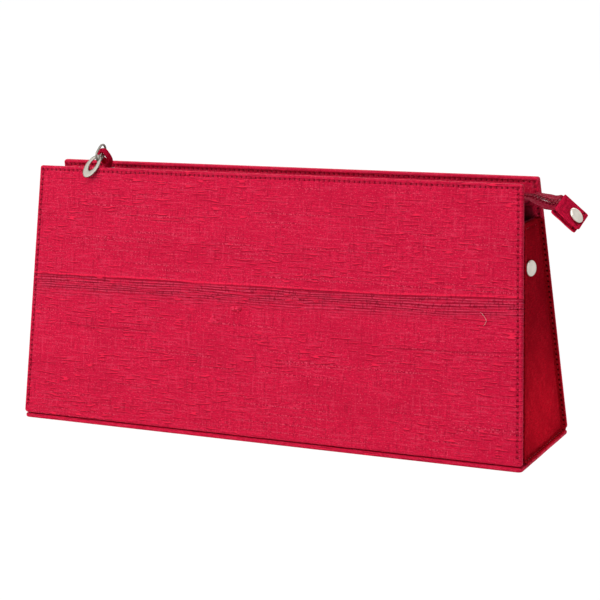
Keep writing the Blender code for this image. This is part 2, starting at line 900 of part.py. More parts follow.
def extruded(name, outline, lift, along, surface, pivot=None):
    """Pushes a closed outline of points along a vector."""
    lower = [Vector(p) + lift for p in outline]
    bm, _ = loft([lower, [p + along for p in lower]])
    return add_object(name, bm, surface, pivot=pivot)


def slider_half(sign):
    """Section of the slider's upper (or lower) shell, as (across, up) from the zip's plane."""
    inside = CHAIN_HALF + FIT + SLIDER_SIDE
    outside = inside + SLIDER_LIP
    roof = TOOTH_HEIGHT / 2 + FIT
    slot = TAPE / 2 + FIT
    section = [
        (-outside, slot),
        (-outside, roof + SLIDER_WALL),
        (outside, roof + SLIDER_WALL),
        (outside, slot),
        (inside, slot),
        (inside, roof),
        (-inside, roof),
        (-inside, slot),
    ]
    return [(y, sign * z) for y, z in section]


def make_slider():
    """Two shells joined by the wedge that parts the teeth, with a bridge for the pull on top."""
    pivot = Vector((SLIDER_X, 0, ZIP_Z))
    left = slider_left()
    surface = zip_red("zip_slider")
    shells = []
    for label, sign in (("zip_slider", 1), ("slider_lower_shell", -1)):
        outline = [Vector((left, y, ZIP_Z + z)) for y, z in slider_half(sign)]
        shells.append(extruded(label, outline, Vector(), Vector((SLIDER_LENGTH, 0, 0)), surface, pivot))
    slider, lower = shells
    combine(slider, lower, "UNION")
    roof = TOOTH_HEIGHT / 2 + FIT + SLIDER_WALL / 2
    wedge = [
        (left, -WEDGE_WIDTH / 4),
        (left + WEDGE_LENGTH / 2, -WEDGE_WIDTH / 2),
        (left + WEDGE_LENGTH, -WEDGE_WIDTH / 6),
        (left + WEDGE_LENGTH, WEDGE_WIDTH / 6),
        (left + WEDGE_LENGTH / 2, WEDGE_WIDTH / 2),
        (left, WEDGE_WIDTH / 4),
    ]
    outline = [Vector((x, y, ZIP_Z - roof)) for x, y in wedge]
    post = extruded("slider_wedge", outline, Vector(), Vector((0, 0, 2 * roof)), surface, pivot)
    combine(slider, post, "UNION")
    combine(slider, make_bridge(surface, pivot), "UNION")
    carried(slider, "slider_carriage")
    for tool in (lower, post):
        tool.parent = slider.parent
        tool.location = (0, 0, 0)


def slider_top():
    return ZIP_Z + TOOTH_HEIGHT / 2 + FIT + SLIDER_WALL


def bridge_rise():
    """Height of the bridge's middle line over the slider: room for the silk loop under it."""
    return LOOP_THICK + 2 * FIT + CROWN_WIRE


def make_bridge(surface, pivot):
    """A bent wire over the slider, from its one end to its other."""
    half = CROWN_LENGTH / 2
    rise = bridge_rise()
    foot = slider_top() - SLIDER_WALL / 2
    line = [Vector((SLIDER_X - half, 0, foot))]
    steps = 4
    radius = rise / 2
    for sign in (-1, 1):
        for k in range(steps + 1):
            angle = math.pi / 2 * k / steps
            if sign > 0:
                angle = math.pi / 2 - angle
            x = SLIDER_X + sign * (half - radius + radius * math.cos(angle))
            line.append(Vector((x, 0, slider_top() + rise - radius + radius * math.sin(angle))))
    line.append(Vector((SLIDER_X + half, 0, foot)))
    rings = []
    for k, point in enumerate(line):
        before = line[max(k - 1, 0)]
        after = line[min(k + 1, len(line) - 1)]
        along = (after - before).normalized()
        side = Vector((0, 1, 0))
        up = along.cross(side)
        rings.append(
            [
                point + (side * math.cos(a) + up * math.sin(a)) * CROWN_WIRE
                for a in (2 * math.pi * n / 8 for n in range(8))
            ]
        )
    bm, _ = loft(rings)
    bridge = add_object("slider_bridge", bm, surface, pivot=pivot)
    return bridge


def make_stops():
    """The two metal stops at the closed end, one at the edge of each tape."""
    right = slider_left() - 2 * FIT
    height = TOOTH_HEIGHT
    for name, side in front_and_back():
        near, far = side * SPINE, side * CHAIN_HALF
        x0, x1 = right - STOP_LENGTH, right
        z = ZIP_Z - height / 2
        outline = [(x0, near, z), (x1, near, z), (x1, far, z), (x0, far, z)]
        extruded("zip_stop_" + name, outline, Vector(), Vector((0, 0, height)), silver("zip_stop_" + name))


def oval_section(thick, wide, sides=8):
    """A rounded strip section: half sizes across the strip and along the hole's axis."""
    points = []
    for k in range(sides):
        angle = 2 * math.pi * (k + 0.5) / sides
        c, s = math.cos(angle), math.sin(angle)
        points.append((thick / 2 * math.copysign(abs(c) ** 0.5, c), wide / 2 * math.copysign(abs(s) ** 0.5, s)))
    return points


def ring_sweep(name, line, section, surface, pivot):
    """Sweeps a section round a closed line of (point, outward, hole axis)."""
    rings = []
    for point, outward, hole in line:
        rings.append([point + outward * u + hole * v for u, v in section])
    bm, _ = loft(rings, closed=True)
    return add_object(name, bm, surface, pivot=pivot)


def make_loop():
    """The silk loop: it goes under the slider's bridge and turns as it rises."""
    foot = slider_top() + FIT + LOOP_THICK / 2
    low = Vector((SLIDER_X, 0, foot))
    high = LOOP_TOP
    half = (high.z - low.z) / 2
    steps = 20
    centres = []
    for k in range(steps):
        angle = 2 * math.pi * k / steps - math.pi / 2
        share = (math.sin(angle) + 1) / 2
        heading = math.pi / 2 + LOOP_TURN * smooth((share - LOOP_UPRIGHT) / (LOOP_TURNED - LOOP_UPRIGHT))
        across = Vector((math.cos(heading), math.sin(heading), 0))
        centre = low.lerp(high, smooth((share - LOOP_UPRIGHT) / (1 - LOOP_UPRIGHT)))
        centre.z = lerp(low.z, high.z, share)
        point = centre + across * (LOOP_HALF * math.copysign(abs(math.cos(angle)) ** 0.8, math.cos(angle)))
        hole = Vector((-across.y, across.x, 0))
        centres.append((point, hole))
    line = []
    for k, (point, hole) in enumerate(centres):
        along = (centres[(k + 1) % steps][0] - centres[k - 1][0]).normalized()
        hole = (hole - along * hole.dot(along)).normalized()
        line.append((point, along.cross(hole), hole))
    pivot = Vector((SLIDER_X, 0, ZIP_Z))
    loop = ring_sweep("pull_loop", line, oval_section(LOOP_THICK, LOOP_WIDE), silk("pull_loop"), pivot)
    carried(loop, "loop_carriage")


def loop_bar():
    """Direction of the top of the silk loop, level."""
    heading = math.pi / 2 + LOOP_TURN
    return Vector((-math.cos(heading), -math.sin(heading), 0))


def hang(drop):
    """Unit vector that hangs forward of the loop's top and down by an angle."""
    bar = loop_bar()
    forward = Vector((bar.y, -bar.x, 0))
    return forward * math.cos(drop) - Vector((0, 0, 1)) * math.sin(drop)


def link_inside():
    """Inner half width of the link, which clears the corners of the silk loop's section."""
    return math.hypot(LOOP_WIDE, LOOP_THICK) / 2 + FIT


def make_link():
    """A long wire link threaded on the top of the silk loop."""
    bar = loop_bar()
    out = hang(LINK_DROP)
    up = bar.cross(out)
    radius = link_inside() + LINK_WIRE
    line = []
    steps = 8
    for end, start in ((LINK_REACH, -math.pi / 2), (0.0, math.pi / 2)):
        for k in range(steps + 1):
            angle = start + math.pi * k / steps
            outward = out * math.cos(angle) + up * math.sin(angle)
            line.append((LOOP_TOP + out * end + outward * radius, outward, bar))
    wire = 2 * LINK_WIRE
    link = ring_sweep("pull_link", line, oval_section(wire, wire), silver("pull_link"), LOOP_TOP)
    carried(link, "link_pivot")


def ring_pivot():
    """Where the ring hangs in the far end of the link."""
    reach = LINK_REACH + link_inside() - 2 * FIT - RING_NEAR / 2
    return LOOP_TOP + hang(LINK_DROP) * reach


def make_pull_ring():
    """The flat oval ring, which lies on the top edge of the front panel and hangs to the left."""
    level = Vector((1, 0, 0))
    fall = Vector((0, -math.cos(RING_DROP), -math.sin(RING_DROP)))
    out = fall * math.cos(RING_TURN) - level * math.sin(RING_TURN)
    side = level * math.cos(RING_TURN) + fall * math.sin(RING_TURN)
    face = side.cross(out)
    reach = (RING_LENGTH - RING_NEAR) / 2
    hole_shift = (RING_NEAR - RING_FAR) / 2
    hole_long = (RING_LENGTH - RING_NEAR - RING_FAR) / 2
    hole_wide = RING_WIDTH / 2 - RING_SIDE
    centre = ring_pivot() + out * reach
    rings = []
    steps = 28
    for k in range(steps):
        angle = 2 * math.pi * k / steps
        c, s = math.cos(angle), math.sin(angle)
        rim = centre + out * (RING_LENGTH / 2 * c) + side * (RING_WIDTH / 2 * s)
        hole = centre + out * (hole_shift + hole_long * c) + side * (hole_wide * s)
        middle = (rim + hole) / 2
        rings.append([middle + (rim - hole) / 2 * u + face * v for u, v in oval_section(2, RING_THICK)])
    bm, _ = loft(rings, closed=True)
    ring = add_object("pull_ring", bm, silver("pull_ring"), pivot=ring_pivot())
    carried(ring, "ring_pivot")


def main():
    clear_scene()
    make_panel_covers()
    make_panel_boards()
    make_panel_linings()
    make_base()
    make_gussets()
    make_tapes()
    make_teeth()
    make_stops()
    make_slider()
    make_tab()
    make_loop()
    make_link()
    make_pull_ring()


main()
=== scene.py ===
"""Clutch bag of slubbed crimson silk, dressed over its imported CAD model.

Laid out as a Blender add-on and run as a script. Everything is in metres in the row frame: +Z up,
the front panel faces -Y and the tail of the zip comes out at +X.
"""
import math

import bmesh
import bpy
from bpy.props import FloatProperty, FloatVectorProperty, PointerProperty
from mathutils import Matrix, Quaternion, Vector, noise


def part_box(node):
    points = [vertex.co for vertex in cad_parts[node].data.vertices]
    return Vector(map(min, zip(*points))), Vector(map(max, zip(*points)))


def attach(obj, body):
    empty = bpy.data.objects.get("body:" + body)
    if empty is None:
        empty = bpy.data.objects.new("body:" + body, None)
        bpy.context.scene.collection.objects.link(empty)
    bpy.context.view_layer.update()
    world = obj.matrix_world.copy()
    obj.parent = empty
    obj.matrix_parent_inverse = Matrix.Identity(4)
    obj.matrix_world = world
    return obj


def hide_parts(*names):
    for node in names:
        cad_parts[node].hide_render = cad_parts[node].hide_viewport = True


bl_info = {
    "name": "Clutch Bag",
    "version": (1, 0, 0),
    "blender": (4, 5, 0),
    "location": "View3D > Sidebar > Clutch Bag",
    "description": "Builds the silk, zip and metal pieces of a clutch bag over its CAD model",
    "category": "Mesh",
}

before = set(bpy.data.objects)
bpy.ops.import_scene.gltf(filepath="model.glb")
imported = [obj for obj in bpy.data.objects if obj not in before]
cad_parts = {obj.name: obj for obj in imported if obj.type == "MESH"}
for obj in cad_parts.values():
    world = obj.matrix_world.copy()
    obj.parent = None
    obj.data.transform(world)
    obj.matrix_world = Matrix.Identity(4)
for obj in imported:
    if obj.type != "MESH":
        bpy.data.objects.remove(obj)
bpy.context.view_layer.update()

# Shape of the bag, as in the CAD model
HEIGHT = 0.136
TOP_WIDTH = 0.275
BOTTOM_WIDTH = 0.287
TOP_DEPTH = 0.025
BOTTOM_DEPTH = 0.070
FIT = 0.0003
SILK = 0.0005
PANEL = 0.0028
BASE = 0.0022
TURN_IN = 0.010
TOP_CORNER = 0.0014
FOOT_CORNER = 0.0018
BASE_CORNER = 0.0025
STITCH_FOOT = 0.0042
GUSSET_SHEET = 0.0010
GUSSET_RECESS = 0.0024
FLANGE_PROUD = 0.0007
GUSSET_TOP = 0.1155
GUSSET_CORNER = 0.0045
GUSSET_BOW = 0.0010
GUSSET_FOLD = 0.0008
HEM = 0.0032
FLANGE_STITCH = 0.0013
SNAP_LEAN = 0.28
RIBS = 2 * math.pi / 0.00125
BEND_FROM = 0.05
BEND = 0.27
ZIP_Z = HEIGHT - 0.008
TAPE = 0.0005
TAPE_FLAP = 0.006
TAPE_END = 0.0035
CHAIN_HALF = 0.0028
TAPE_INNER = 0.0010
TOOTH_OVERLAP = 0.0009
COIL_TALL = 0.00062
COIL_HEAD_SWELL = 1.18
COIL_SEAM = 0.0019
COIL_SEAM_HEIGHT = 0.00088
TAIL_REACH = 0.0127
TAIL_SIDE = 0.0008
TAIL_DROP = 0.0025
TAIL_LEAD = 0.005
TAIL_HALF = 0.0072
TAB_ALONG = Vector((0.600, 0.401, -0.690))
TAB_ACROSS = Vector((-0.072, 0.879, 0.448))
TAB_LENGTH = 0.0158
TAB_WIDTH = 0.0150
TAB_SKEW = 0.176
TAB_LAYER = 0.0007
TAPE_IN_TAB = 0.006
TAB_GAPE = 0.0005
TAB_STITCH = 0.0022
TAB_CORNER = 0.0016
TAIL_SAG = 0.0015
SNAP_RADIUS = 0.0040
SNAP_DOME = 0.0016
SNAP_RIM = 0.0004
POST_RADIUS = 0.0012
SOCKET_HEIGHT = 0.0018
TAB_SNAP_ALONG = 0.0104
TAB_SNAP_ACROSS = -0.0008
GUSSET_SNAP_Z = 0.0927
SLIDER_X = 0.036 - TOP_WIDTH / 2
SLIDER_LENGTH = 0.0110
WEDGE_LENGTH = 0.0030
STOP_LENGTH = 0.0020
RING_DROP = math.radians(57)
RING_TURN = math.radians(24)
RING_NEAR = 0.0018
RING_SIDE = 0.0015
RING_FAR = 0.0034
# Painted shade: the pull's metal is the snaps' plate made darker by this share
PULL_SHADE = 0.36
PULL_DULLING = 0.10
HOLE_SIDES = 56

LEAN = math.atan2((BOTTOM_DEPTH - TOP_DEPTH) / 2, HEIGHT - BASE - FIT)
FOOT = BASE + FIT + PANEL * math.sin(LEAN)
SLOPE = (HEIGHT - FOOT) / math.cos(LEAN)

# Weave of the panels. Painted needle-hole shade and puckers are distances over which they fade, and UNSEWN is
# the stitch mark (run, distance) of cloth that no needle went through
SILK_TINT = (1, 0.1, 0.2)
FLECK_COLOUR = (0.82, 0.10, 0.17)
NEEDLE_HOLE_SHADE = (0.00035, 0.00078)
UNSEWN = (0.5, 0.01)
PUCKER = (0.0003, 0.0015)
BAND_GONE = 0.0130
BAND_FULL = 0.0050
BAND_EDGE = 0.0003
BAND_WANDER = 0.0014
WEFT_SWAY = 15.0
ROPE_RISE = 0.0009
SECOND_LINE = 0.0262
# Patterns of the panels' threads: grains a metre across and up, shift, detail, roughness
PANEL_THREADS = {
    "grain": (1700, 1900, (0, 0), 2, 0.5),
    "streak": (430, 1500, (3, 1), 2, 0.6),
    "long_streak": (75, 900, (3, 7), 2, 0.6),
    "cloud": (26, 60, (8, 4), 2, 0.5),
    "warp": (900, 90, (5, 1), 1, 0.5),
    "specks": (1250, 1500, (6, 2), 0, 0.5),
    "rows": (2.2, 900, (0, 31), 0, 0.5),
    "extent": (22, 90, (11, 3), 1, 0.5),
    "beads": (1250, 900, (2, 9), 0, 0.5),
    "slubs": (125, 1050, (7, 5), 0, 0.5),
    # Painted shadow: the slub pattern shifted a little, painted dark below each slub
    "slub_shadows": (125, 1050, (7, 5.6), 0, 0.5),
    "slubbed": (9, 60, (1, 6), 0, 0.5),
    "weft": (22, 160, (9, 2), 1, 0.5),
    "worn": (70, 520, (2, 6), 1, 0.5),
    "crossing": (900, 300, (4, 8), 1, 0.5),
}

# Mesh of the panels: step across and up, fine step near the edges and how far it reaches
COVER_STEP = 0.0019
COVER_RISE = 0.0008
COVER_FINE = 0.0005
COVER_ZONE = 0.006
BAND_ROWS = 60
RIM_INSET = 0.0032

# Strength at which a background renders white, and the share of it in the floor
WHITE = 1.03
FLOOR_GLOW = 0.97

# Camera that matches the photograph
EYE = Vector((0.4247, -0.8127, 0.2736))
AIM = Vector((0.01047, 0.0, 0.0684))
CAMERA_ROLL = math.radians(-2.17)


class ClutchSilk(bpy.types.PropertyGroup):
    """Colours and thread sizes of the silk and its stitching."""

    panel_colour: FloatVectorProperty(
        name="Panel silk", description="Colour of the slubbed silk of the panels",
        subtype="COLOR", size=3, min=0, max=1, default=(0.68, 0.009, 0.052))
    shade_colour: FloatVectorProperty(
        name="Side silk", description="Colour of the smoother silk of the gussets and trims",
        subtype="COLOR", size=3, min=0, max=1, default=(0.45, 0.0045, 0.016))
    lining_colour: FloatVectorProperty(
        name="Lining", description="Colour of the lining cloth",
        subtype="COLOR", size=3, min=0, max=1, default=(0.34, 0.012, 0.04))
    stitch_pitch: FloatProperty(
        name="Stitch pitch", description="Length of one stitch and its needle hole",
        subtype="DISTANCE", unit="LENGTH", default=0.00276)
    stitch_inset: FloatProperty(
        name="Stitch inset", description="Distance of the top-stitching from an edge",
        subtype="DISTANCE", unit="LENGTH", default=0.0022)
    thread: FloatProperty(
        name="Thread", description="Thickness of the sewing thread",
        subtype="DISTANCE", unit="LENGTH", default=0.00042)
    slub: FloatProperty(
        name="Slub height", description="How far the thickest weft threads stand out of the silk",
        subtype="DISTANCE", unit="LENGTH", default=0.00016)
    grain_tilt: FloatProperty(
        name="Grain tilt", description="Angle of the weft to the foot of the panel",
        subtype="ANGLE", unit="ROTATION", default=0.0085)
    band: FloatProperty(
        name="Coarse band", description="Height of the coarse ribbed band up the panel",
        subtype="DISTANCE", unit="LENGTH", default=0.0771)


class ClutchZip(bpy.types.PropertyGroup):
    """Sizes and colours of the zip."""

    pitch: FloatProperty(
        name="Coil pitch", description="Distance from one coil of a row to the next",
        subtype="DISTANCE", unit="LENGTH", default=0.0016)
    wire: FloatProperty(
        name="Coil thickness", description="Thickness of the coil's filament",
        subtype="DISTANCE", unit="LENGTH", default=0.00056)
    tape_colour: FloatVectorProperty(
        name="Tape", description="Colour of the woven tape",
        subtype="COLOR", size=3, min=0, max=1, default=(0.36, 0.008, 0.034))
    coil_colour: FloatVectorProperty(
        name="Coil", description="Colour of the coil and the painted slider",
        subtype="COLOR", size=3, min=0, max=1, default=(0.17, 0.004, 0.014))


class ClutchMetal(bpy.types.PropertyGroup):
    """Finish of the snaps, the stops, the link and the ring."""

    colour: FloatVectorProperty(
        name="Metal", description="Colour of the plated metal",
        subtype="COLOR", size=3, min=0, max=1, default=(0.66, 0.61, 0.54))
    roughness: FloatProperty(
        name="Roughness", description="Roughness of the plated metal",
        subtype="FACTOR", min=0, max=1, default=0.36)


class ClutchStudio(bpy.types.PropertyGroup):
    """Floor, light and camera."""

    floor_colour: FloatVectorProperty(
        name="Floor", description="Colour of the floor",
        subtype="COLOR", size=3, min=0, max=1, default=(0.92, 0.92, 0.92))
    key_power: FloatProperty(
        name="Key light", description="Power of the large soft light at the front left",
        subtype="POWER", default=23.5)
    top_power: FloatProperty(
        name="Top light", description="Power of the soft light overhead",
        subtype="POWER", default=9.0)
    fill_power: FloatProperty(
        name="Fill light", description="Power of the soft light at the right",
        subtype="POWER", default=0.5)
    back_power: FloatProperty(
        name="Back light", description="Power of the large soft light behind the bag",
        subtype="POWER", default=13.0)
    low_power: FloatProperty(
        name="Low light", description="Power of the small light that lifts the foot of the right gusset",
        subtype="POWER", default=0.0062)
    room: FloatProperty(
        name="Room light", description="Strength of the even light from all round",
        min=0, default=0.10)
    lens: FloatProperty(
        name="Lens", description="Focal length on a 36 mm sensor, in millimetres",
        min=1, default=108.2)


# Shape of the bag

def lerp(a, b, share):
    return a + (b - a) * share


def smooth(share):
    share = min(max(share, 0.0), 1.0)
    return share * share * (3 - 2 * share)


def bell(distance, width):
    return math.exp(-((distance / width) ** 2))


def half_depth(z):
    return BOTTOM_DEPTH / 2 - (z - FOOT) * math.tan(LEAN)


def half_inside(z):
    return half_depth(z) - PANEL / math.cos(LEAN)


def half_width(z):
    return lerp(BOTTOM_WIDTH, TOP_WIDTH, (z - FOOT) / (HEIGHT - FOOT)) / 2


def panel_place(side):
    """Moves a panel from its own plane (x, up the slope, out of the face) to its place."""
    tilt = Matrix.Rotation(math.pi / 2 - LEAN, 4, "X")
    stand = Matrix.Translation((0, -BOTTOM_DEPTH / 2, FOOT)) @ tilt
    return Matrix.Rotation(math.pi, 4, "Z") @ stand if side > 0 else stand


def front_and_back():
    return (("front", -1), ("back", 1))


def panel_corners():
    return [
        Vector((-BOTTOM_WIDTH / 2, 0)),
        Vector((BOTTOM_WIDTH / 2, 0)),
        Vector((TOP_WIDTH / 2, SLOPE)),
        Vector((-TOP_WIDTH / 2, SLOPE)),
    ]


def base_corners():
    x, y = BOTTOM_WIDTH / 2, BOTTOM_DEPTH / 2
    return [Vector((-x, -y)), Vector((x, -y)), Vector((x, y)), Vector((-x, y))]


def inset_corners(corners, amount):
    """Moves each side of a counter-clockwise polygon inwards."""
    sides = []
    for i, start in enumerate(corners):
        along = (corners[(i + 1) % len(corners)] - start).normalized()
        sides.append((start + Vector((-along.y, along.x)) * amount, along))
    moved = []
    for i, (point, along) in enumerate(sides):
        before, before_along = sides[i - 1]
        cross = before_along.x * along.y - before_along.y * along.x
        gap = point - before
        moved.append(before + before_along * ((gap.x * along.y - gap.y * along.x) / cross))
    return moved


def rim_ring(corners, inset, radii, shares):
    """Points round a four-sided outline at an inset, with rounded corners.

    shares holds, for the two directions, how far along a side each point lies.
    """
    moved = inset_corners(corners, inset)
    corner_data = []
    for i, corner in enumerate(moved):
        before = (moved[i - 1] - corner).normalized()
        after = (moved[(i + 1) % 4] - corner).normalized()
        half = before.angle(after) / 2
        radius = max(radii[i] - inset, 1e-5)
        centre = corner + (before + after).normalized() * (radius / math.sin(half))
        corner_data.append((corner, before, after, radius / math.tan(half), centre))
    ring = []
    for i in range(4):
        corner, _, after, reach, centre = corner_data[i]
        nxt, next_before, _, next_reach, next_centre = corner_data[(i + 1) % 4]
        length = (nxt - corner).length
        side_shares = shares[i % 2]
        if i >= 2:
            side_shares = [1 - s for s in reversed(side_shares)]
        for share in side_shares[:-1]:
            near, far = share * length, (1 - share) * length
            if near < reach:
                ring.append(on_arc(corner, after, reach, centre, near))
            elif far < next_reach:
                ring.append(on_arc(nxt, next_before, next_reach, next_centre, far))
            else:
                ring.append(corner + after * near)
    return ring


def on_arc(corner, along, reach, centre, distance):
    """The point of a corner's arc that stands for a distance from the sharp corner."""
    middle = (corner - centre).normalized()
    end = (corner + along * reach - centre)
    return centre + middle.slerp(end.normalized(), distance / reach) * end.length


def stations(length, step, fine, zone):
    """Shares along a side, close together near both ends."""
    count = max(round(zone / fine), 1)
    start = [zone * k / count for k in range(count)]
    middle = max(round((length - 2 * zone) / step), 1)
    between = [zone + (length - 2 * zone) * k / middle for k in range(middle + 1)]
    end = [length - p for p in reversed(start)]
    return [p / length for p in start + between + end]


# Making meshes

def deselect():
    bpy.ops.object.select_all(action="DESELECT")


def pick(obj):
    """Selects one object and makes it the active one."""
    deselect()
    obj.select_set(True)
    bpy.context.view_layer.objects.active = obj


def apply_all(obj):
    """Applies an object's modifiers in order."""
    pick(obj)
    for name in [m.name for m in obj.modifiers]:
        bpy.ops.object.modifier_apply(modifier=name)
    deselect()


def new_object(name, bm, surface, angle=50):
    """Turns a bmesh in the row frame into a smooth object at the origin."""
    mesh = bpy.data.meshes.new(name)
    bm.to_mesh(mesh)
    bm.free()
    mesh.materials.append(surface)
    made = bpy.data.objects.new(name, mesh)
    bpy.context.scene.collection.objects.link(made)
    soften(made, angle)
    return made


def soften(obj, angle):
    obj.data.shade_smooth()
    obj.data.set_sharp_from_angle(angle=math.radians(angle))


def settle(obj, body, slot, *nodes):
    """Applies a finished piece's transforms, hides the CAD nodes it stands for and puts it on its body."""
    pick(obj)
    bpy.ops.object.transform_apply(location=True, rotation=True, scale=True)
    deselect()
    if nodes:
        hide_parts(*nodes)
    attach(obj, body)
    return obj


def turn_out(bm):
    """Turns every face of a closed body outwards."""
    bmesh.ops.recalc_face_normals(bm, faces=bm.faces)
    if bm.calc_volume(signed=True) < 0:
        bmesh.ops.reverse_faces(bm, faces=bm.faces)


def skin(rings, closed=False, caps=True):
    """Joins rings of equally many points into a body."""
    bm = bmesh.new()
    rows = [[bm.verts.new(p) for p in ring] for ring in rings]
    pairs = list(zip(rows, rows[1:]))
    if closed:
        pairs.append((rows[-1], rows[0]))
    count = len(rows[0])
    for low, high in pairs:
        for i in range(count):
            j = (i + 1) % count
            bm.faces.new((low[i], low[j], high[j], high[i]))
    if caps and not closed:
        bm.faces.new(reversed(rows[0]))
        bm.faces.new(rows[-1])
    return bm


def weld_grid(bm, grid):
    rows = [[bm.verts.new(p) for p in row] for row in grid]
    for low, high in zip(rows, rows[1:]):
        for i in range(len(low) - 1):
            bm.faces.new((low[i], low[i + 1], high[i + 1], high[i]))
    return rows


def lay_weave(obj, places):
    """Writes the UV map that the cloth's threads follow, in metres, from one place a vertex."""
    layer = obj.data.uv_layers.get("weave") or obj.data.uv_layers.new(name="weave")
    flat = []
    for loop in obj.data.loops:
        flat.extend(places[loop.vertex_index])
    layer.data.foreach_set("uv", flat)


def mark_stitches(obj, marks):
    """Stores how far each vertex lies along a row of stitches, in stitches, and away from it."""
    for name, index in (("stitch_run", 0), ("stitch_away", 1)):
        attribute = obj.data.attributes.new(name, "FLOAT", "POINT")
        attribute.data.foreach_set("value", [mark[index] for mark in marks])


def cad_copy(node, name, surface):
    """A merged copy of a CAD node's mesh, to be reshaped."""
    bm = bmesh.new()
    bm.from_mesh(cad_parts[node].data)
    bmesh.ops.remove_doubles(bm, verts=bm.verts, dist=1e-6)
    return new_object(name, bm, surface)


# Shader nodes

class Surface:
    """A material and short ways to add nodes to it."""

    def __init__(self, name):
        self.material = bpy.data.materials.new(name)
        self.material.use_nodes = True
        self.tree = self.material.node_tree
        self.shader = self.tree.nodes["Principled BSDF"]

    def node(self, kind, **settings):
        made = self.tree.nodes.new(kind)
        for key, value in settings.items():
            setattr(made, key, value)
        return made

    def put(self, socket, value):
        if isinstance(value, bpy.types.NodeSocket):
            self.tree.links.new(value, socket)
        else:
            socket.default_value = value

    def calc(self, operation, *values):
        """One step of arithmetic on numbers or sockets."""
        made = self.node("ShaderNodeMath", operation=operation)
        for socket, value in zip(made.inputs, values):
            self.put(socket, value)
        return made.outputs[0]

    def times(self, first, *others):
        for value in others:
            first = self.calc("MULTIPLY", first, value)
        return first

    def total(self, *parts):
        """Adds up parts given as (value, weight)."""
        made = 0.0
        for value, weight in parts:
            made = self.calc("MULTIPLY_ADD", value, weight, made)
        return made

    def steps(self, value, low, high, start=0.0, end=1.0):
        """Maps a value smoothly from one range to another and clamps it."""
        made = self.node("ShaderNodeMapRange", interpolation_type="SMOOTHSTEP")
        for socket, given in zip(made.inputs, (value, low, high, start, end)):
            self.put(socket, given)
        return made.outputs[0]

    def near(self, value, centre, inner, outer):
        """1 close to a centre, fading to 0 from the inner to the outer distance."""
        offset = self.calc("ABSOLUTE", self.calc("SUBTRACT", value, centre))
        return self.steps(offset, inner, outer, 1, 0)

    def blend(self, share, first, second):
        made = self.node("ShaderNodeMix", data_type="RGBA")
        self.put(made.inputs["Factor"], share)
        for socket, value in ((made.inputs[6], first), (made.inputs[7], second)):
            if not isinstance(value, bpy.types.NodeSocket):
                value = (*value, 1.0)
            self.put(socket, value)
        return made.outputs[2]

    def paint(self, colour, *layers):
        """Colours the surface, with layers over the first colour given as (where, share, colour)."""
        for where, share, over in layers:
            colour = self.blend(self.times(where, share), colour, over)
        self.put(self.shader.inputs["Base Color"], colour)

    def stretched(self, place, scale, turn=0.0, shift=(0, 0, 0)):
        made = self.node("ShaderNodeMapping")
        self.put(made.inputs["Vector"], place)
        made.inputs["Scale"].default_value = scale
        made.inputs["Rotation"].default_value = (0, 0, turn)
        made.inputs["Location"].default_value = shift
        return made.outputs[0]

    def noise(self, place, scale, detail=2.0, rough=0.5, turn=0.0, shift=(0, 0, 0), warp=0.0):
        """Noise with its grains a metre along each direction as scale."""
        made = self.node("ShaderNodeTexNoise")
        self.put(made.inputs["Vector"], self.stretched(place, scale, turn, shift))
        made.inputs["Scale"].default_value = 1.0
        made.inputs["Detail"].default_value = detail
        made.inputs["Roughness"].default_value = rough
        made.inputs["Distortion"].default_value = warp
        return made.outputs[0]

    def waves(self, value, pace):
        return self.calc("SINE", self.times(value, pace))

    def attribute(self, name):
        return self.node("ShaderNodeAttribute", attribute_name=name).outputs["Fac"]

    def weave(self):
        return self.node("ShaderNodeUVMap", uv_map="weave").outputs[0]

    def object_place(self):
        return self.node("ShaderNodeTexCoord").outputs["Object"]

    def split(self, place):
        made = self.node("ShaderNodeSeparateXYZ")
        self.put(made.inputs[0], place)
        return made.outputs

    def bump(self, height, distance):
        made = self.node("ShaderNodeBump")
        made.inputs["Distance"].default_value = distance
        self.put(made.inputs["Height"], height)
        self.put(self.shader.inputs["Normal"], made.outputs[0])

    def finish(self, roughness, metallic=0.0, tint=(1, 1, 1), specular=0.5):
        shader = self.shader
        self.put(shader.inputs["Roughness"], roughness)
        shader.inputs["Metallic"].default_value = metallic
        shader.inputs["Specular Tint"].default_value = (*tint, 1.0)
        shader.inputs["Specular IOR Level"].default_value = specular
        return self.material


def scaled_colour(colour, share):
    return tuple(min(c * share, 1.0) for c in colour)


def shifted_colour(colour, red, green, blue, lift=0.0):
    """A colour with each channel scaled, and green and blue lifted towards white."""
    return (min(colour[0] * red, 1), colour[1] * green + lift, colour[2] * blue + lift)


def needle_holes(surface, pitch):
    """Painted shade in the dents where the needle went in, and the pucker round them, from the stitch
    attributes.
    """
    part = surface.calc("FRACT", surface.calc("ADD", surface.attribute("stitch_run"), 0.5))
    along = surface.times(surface.calc("SUBTRACT", part, 0.5), pitch)
    away = surface.attribute("stitch_away")
    squares = surface.calc("ADD", surface.times(along, along), surface.times(away, away))
    distance = surface.calc("SQRT", squares)
    return surface.steps(distance, *NEEDLE_HOLE_SHADE, 1, 0), surface.steps(distance, *PUCKER, 1, 0)


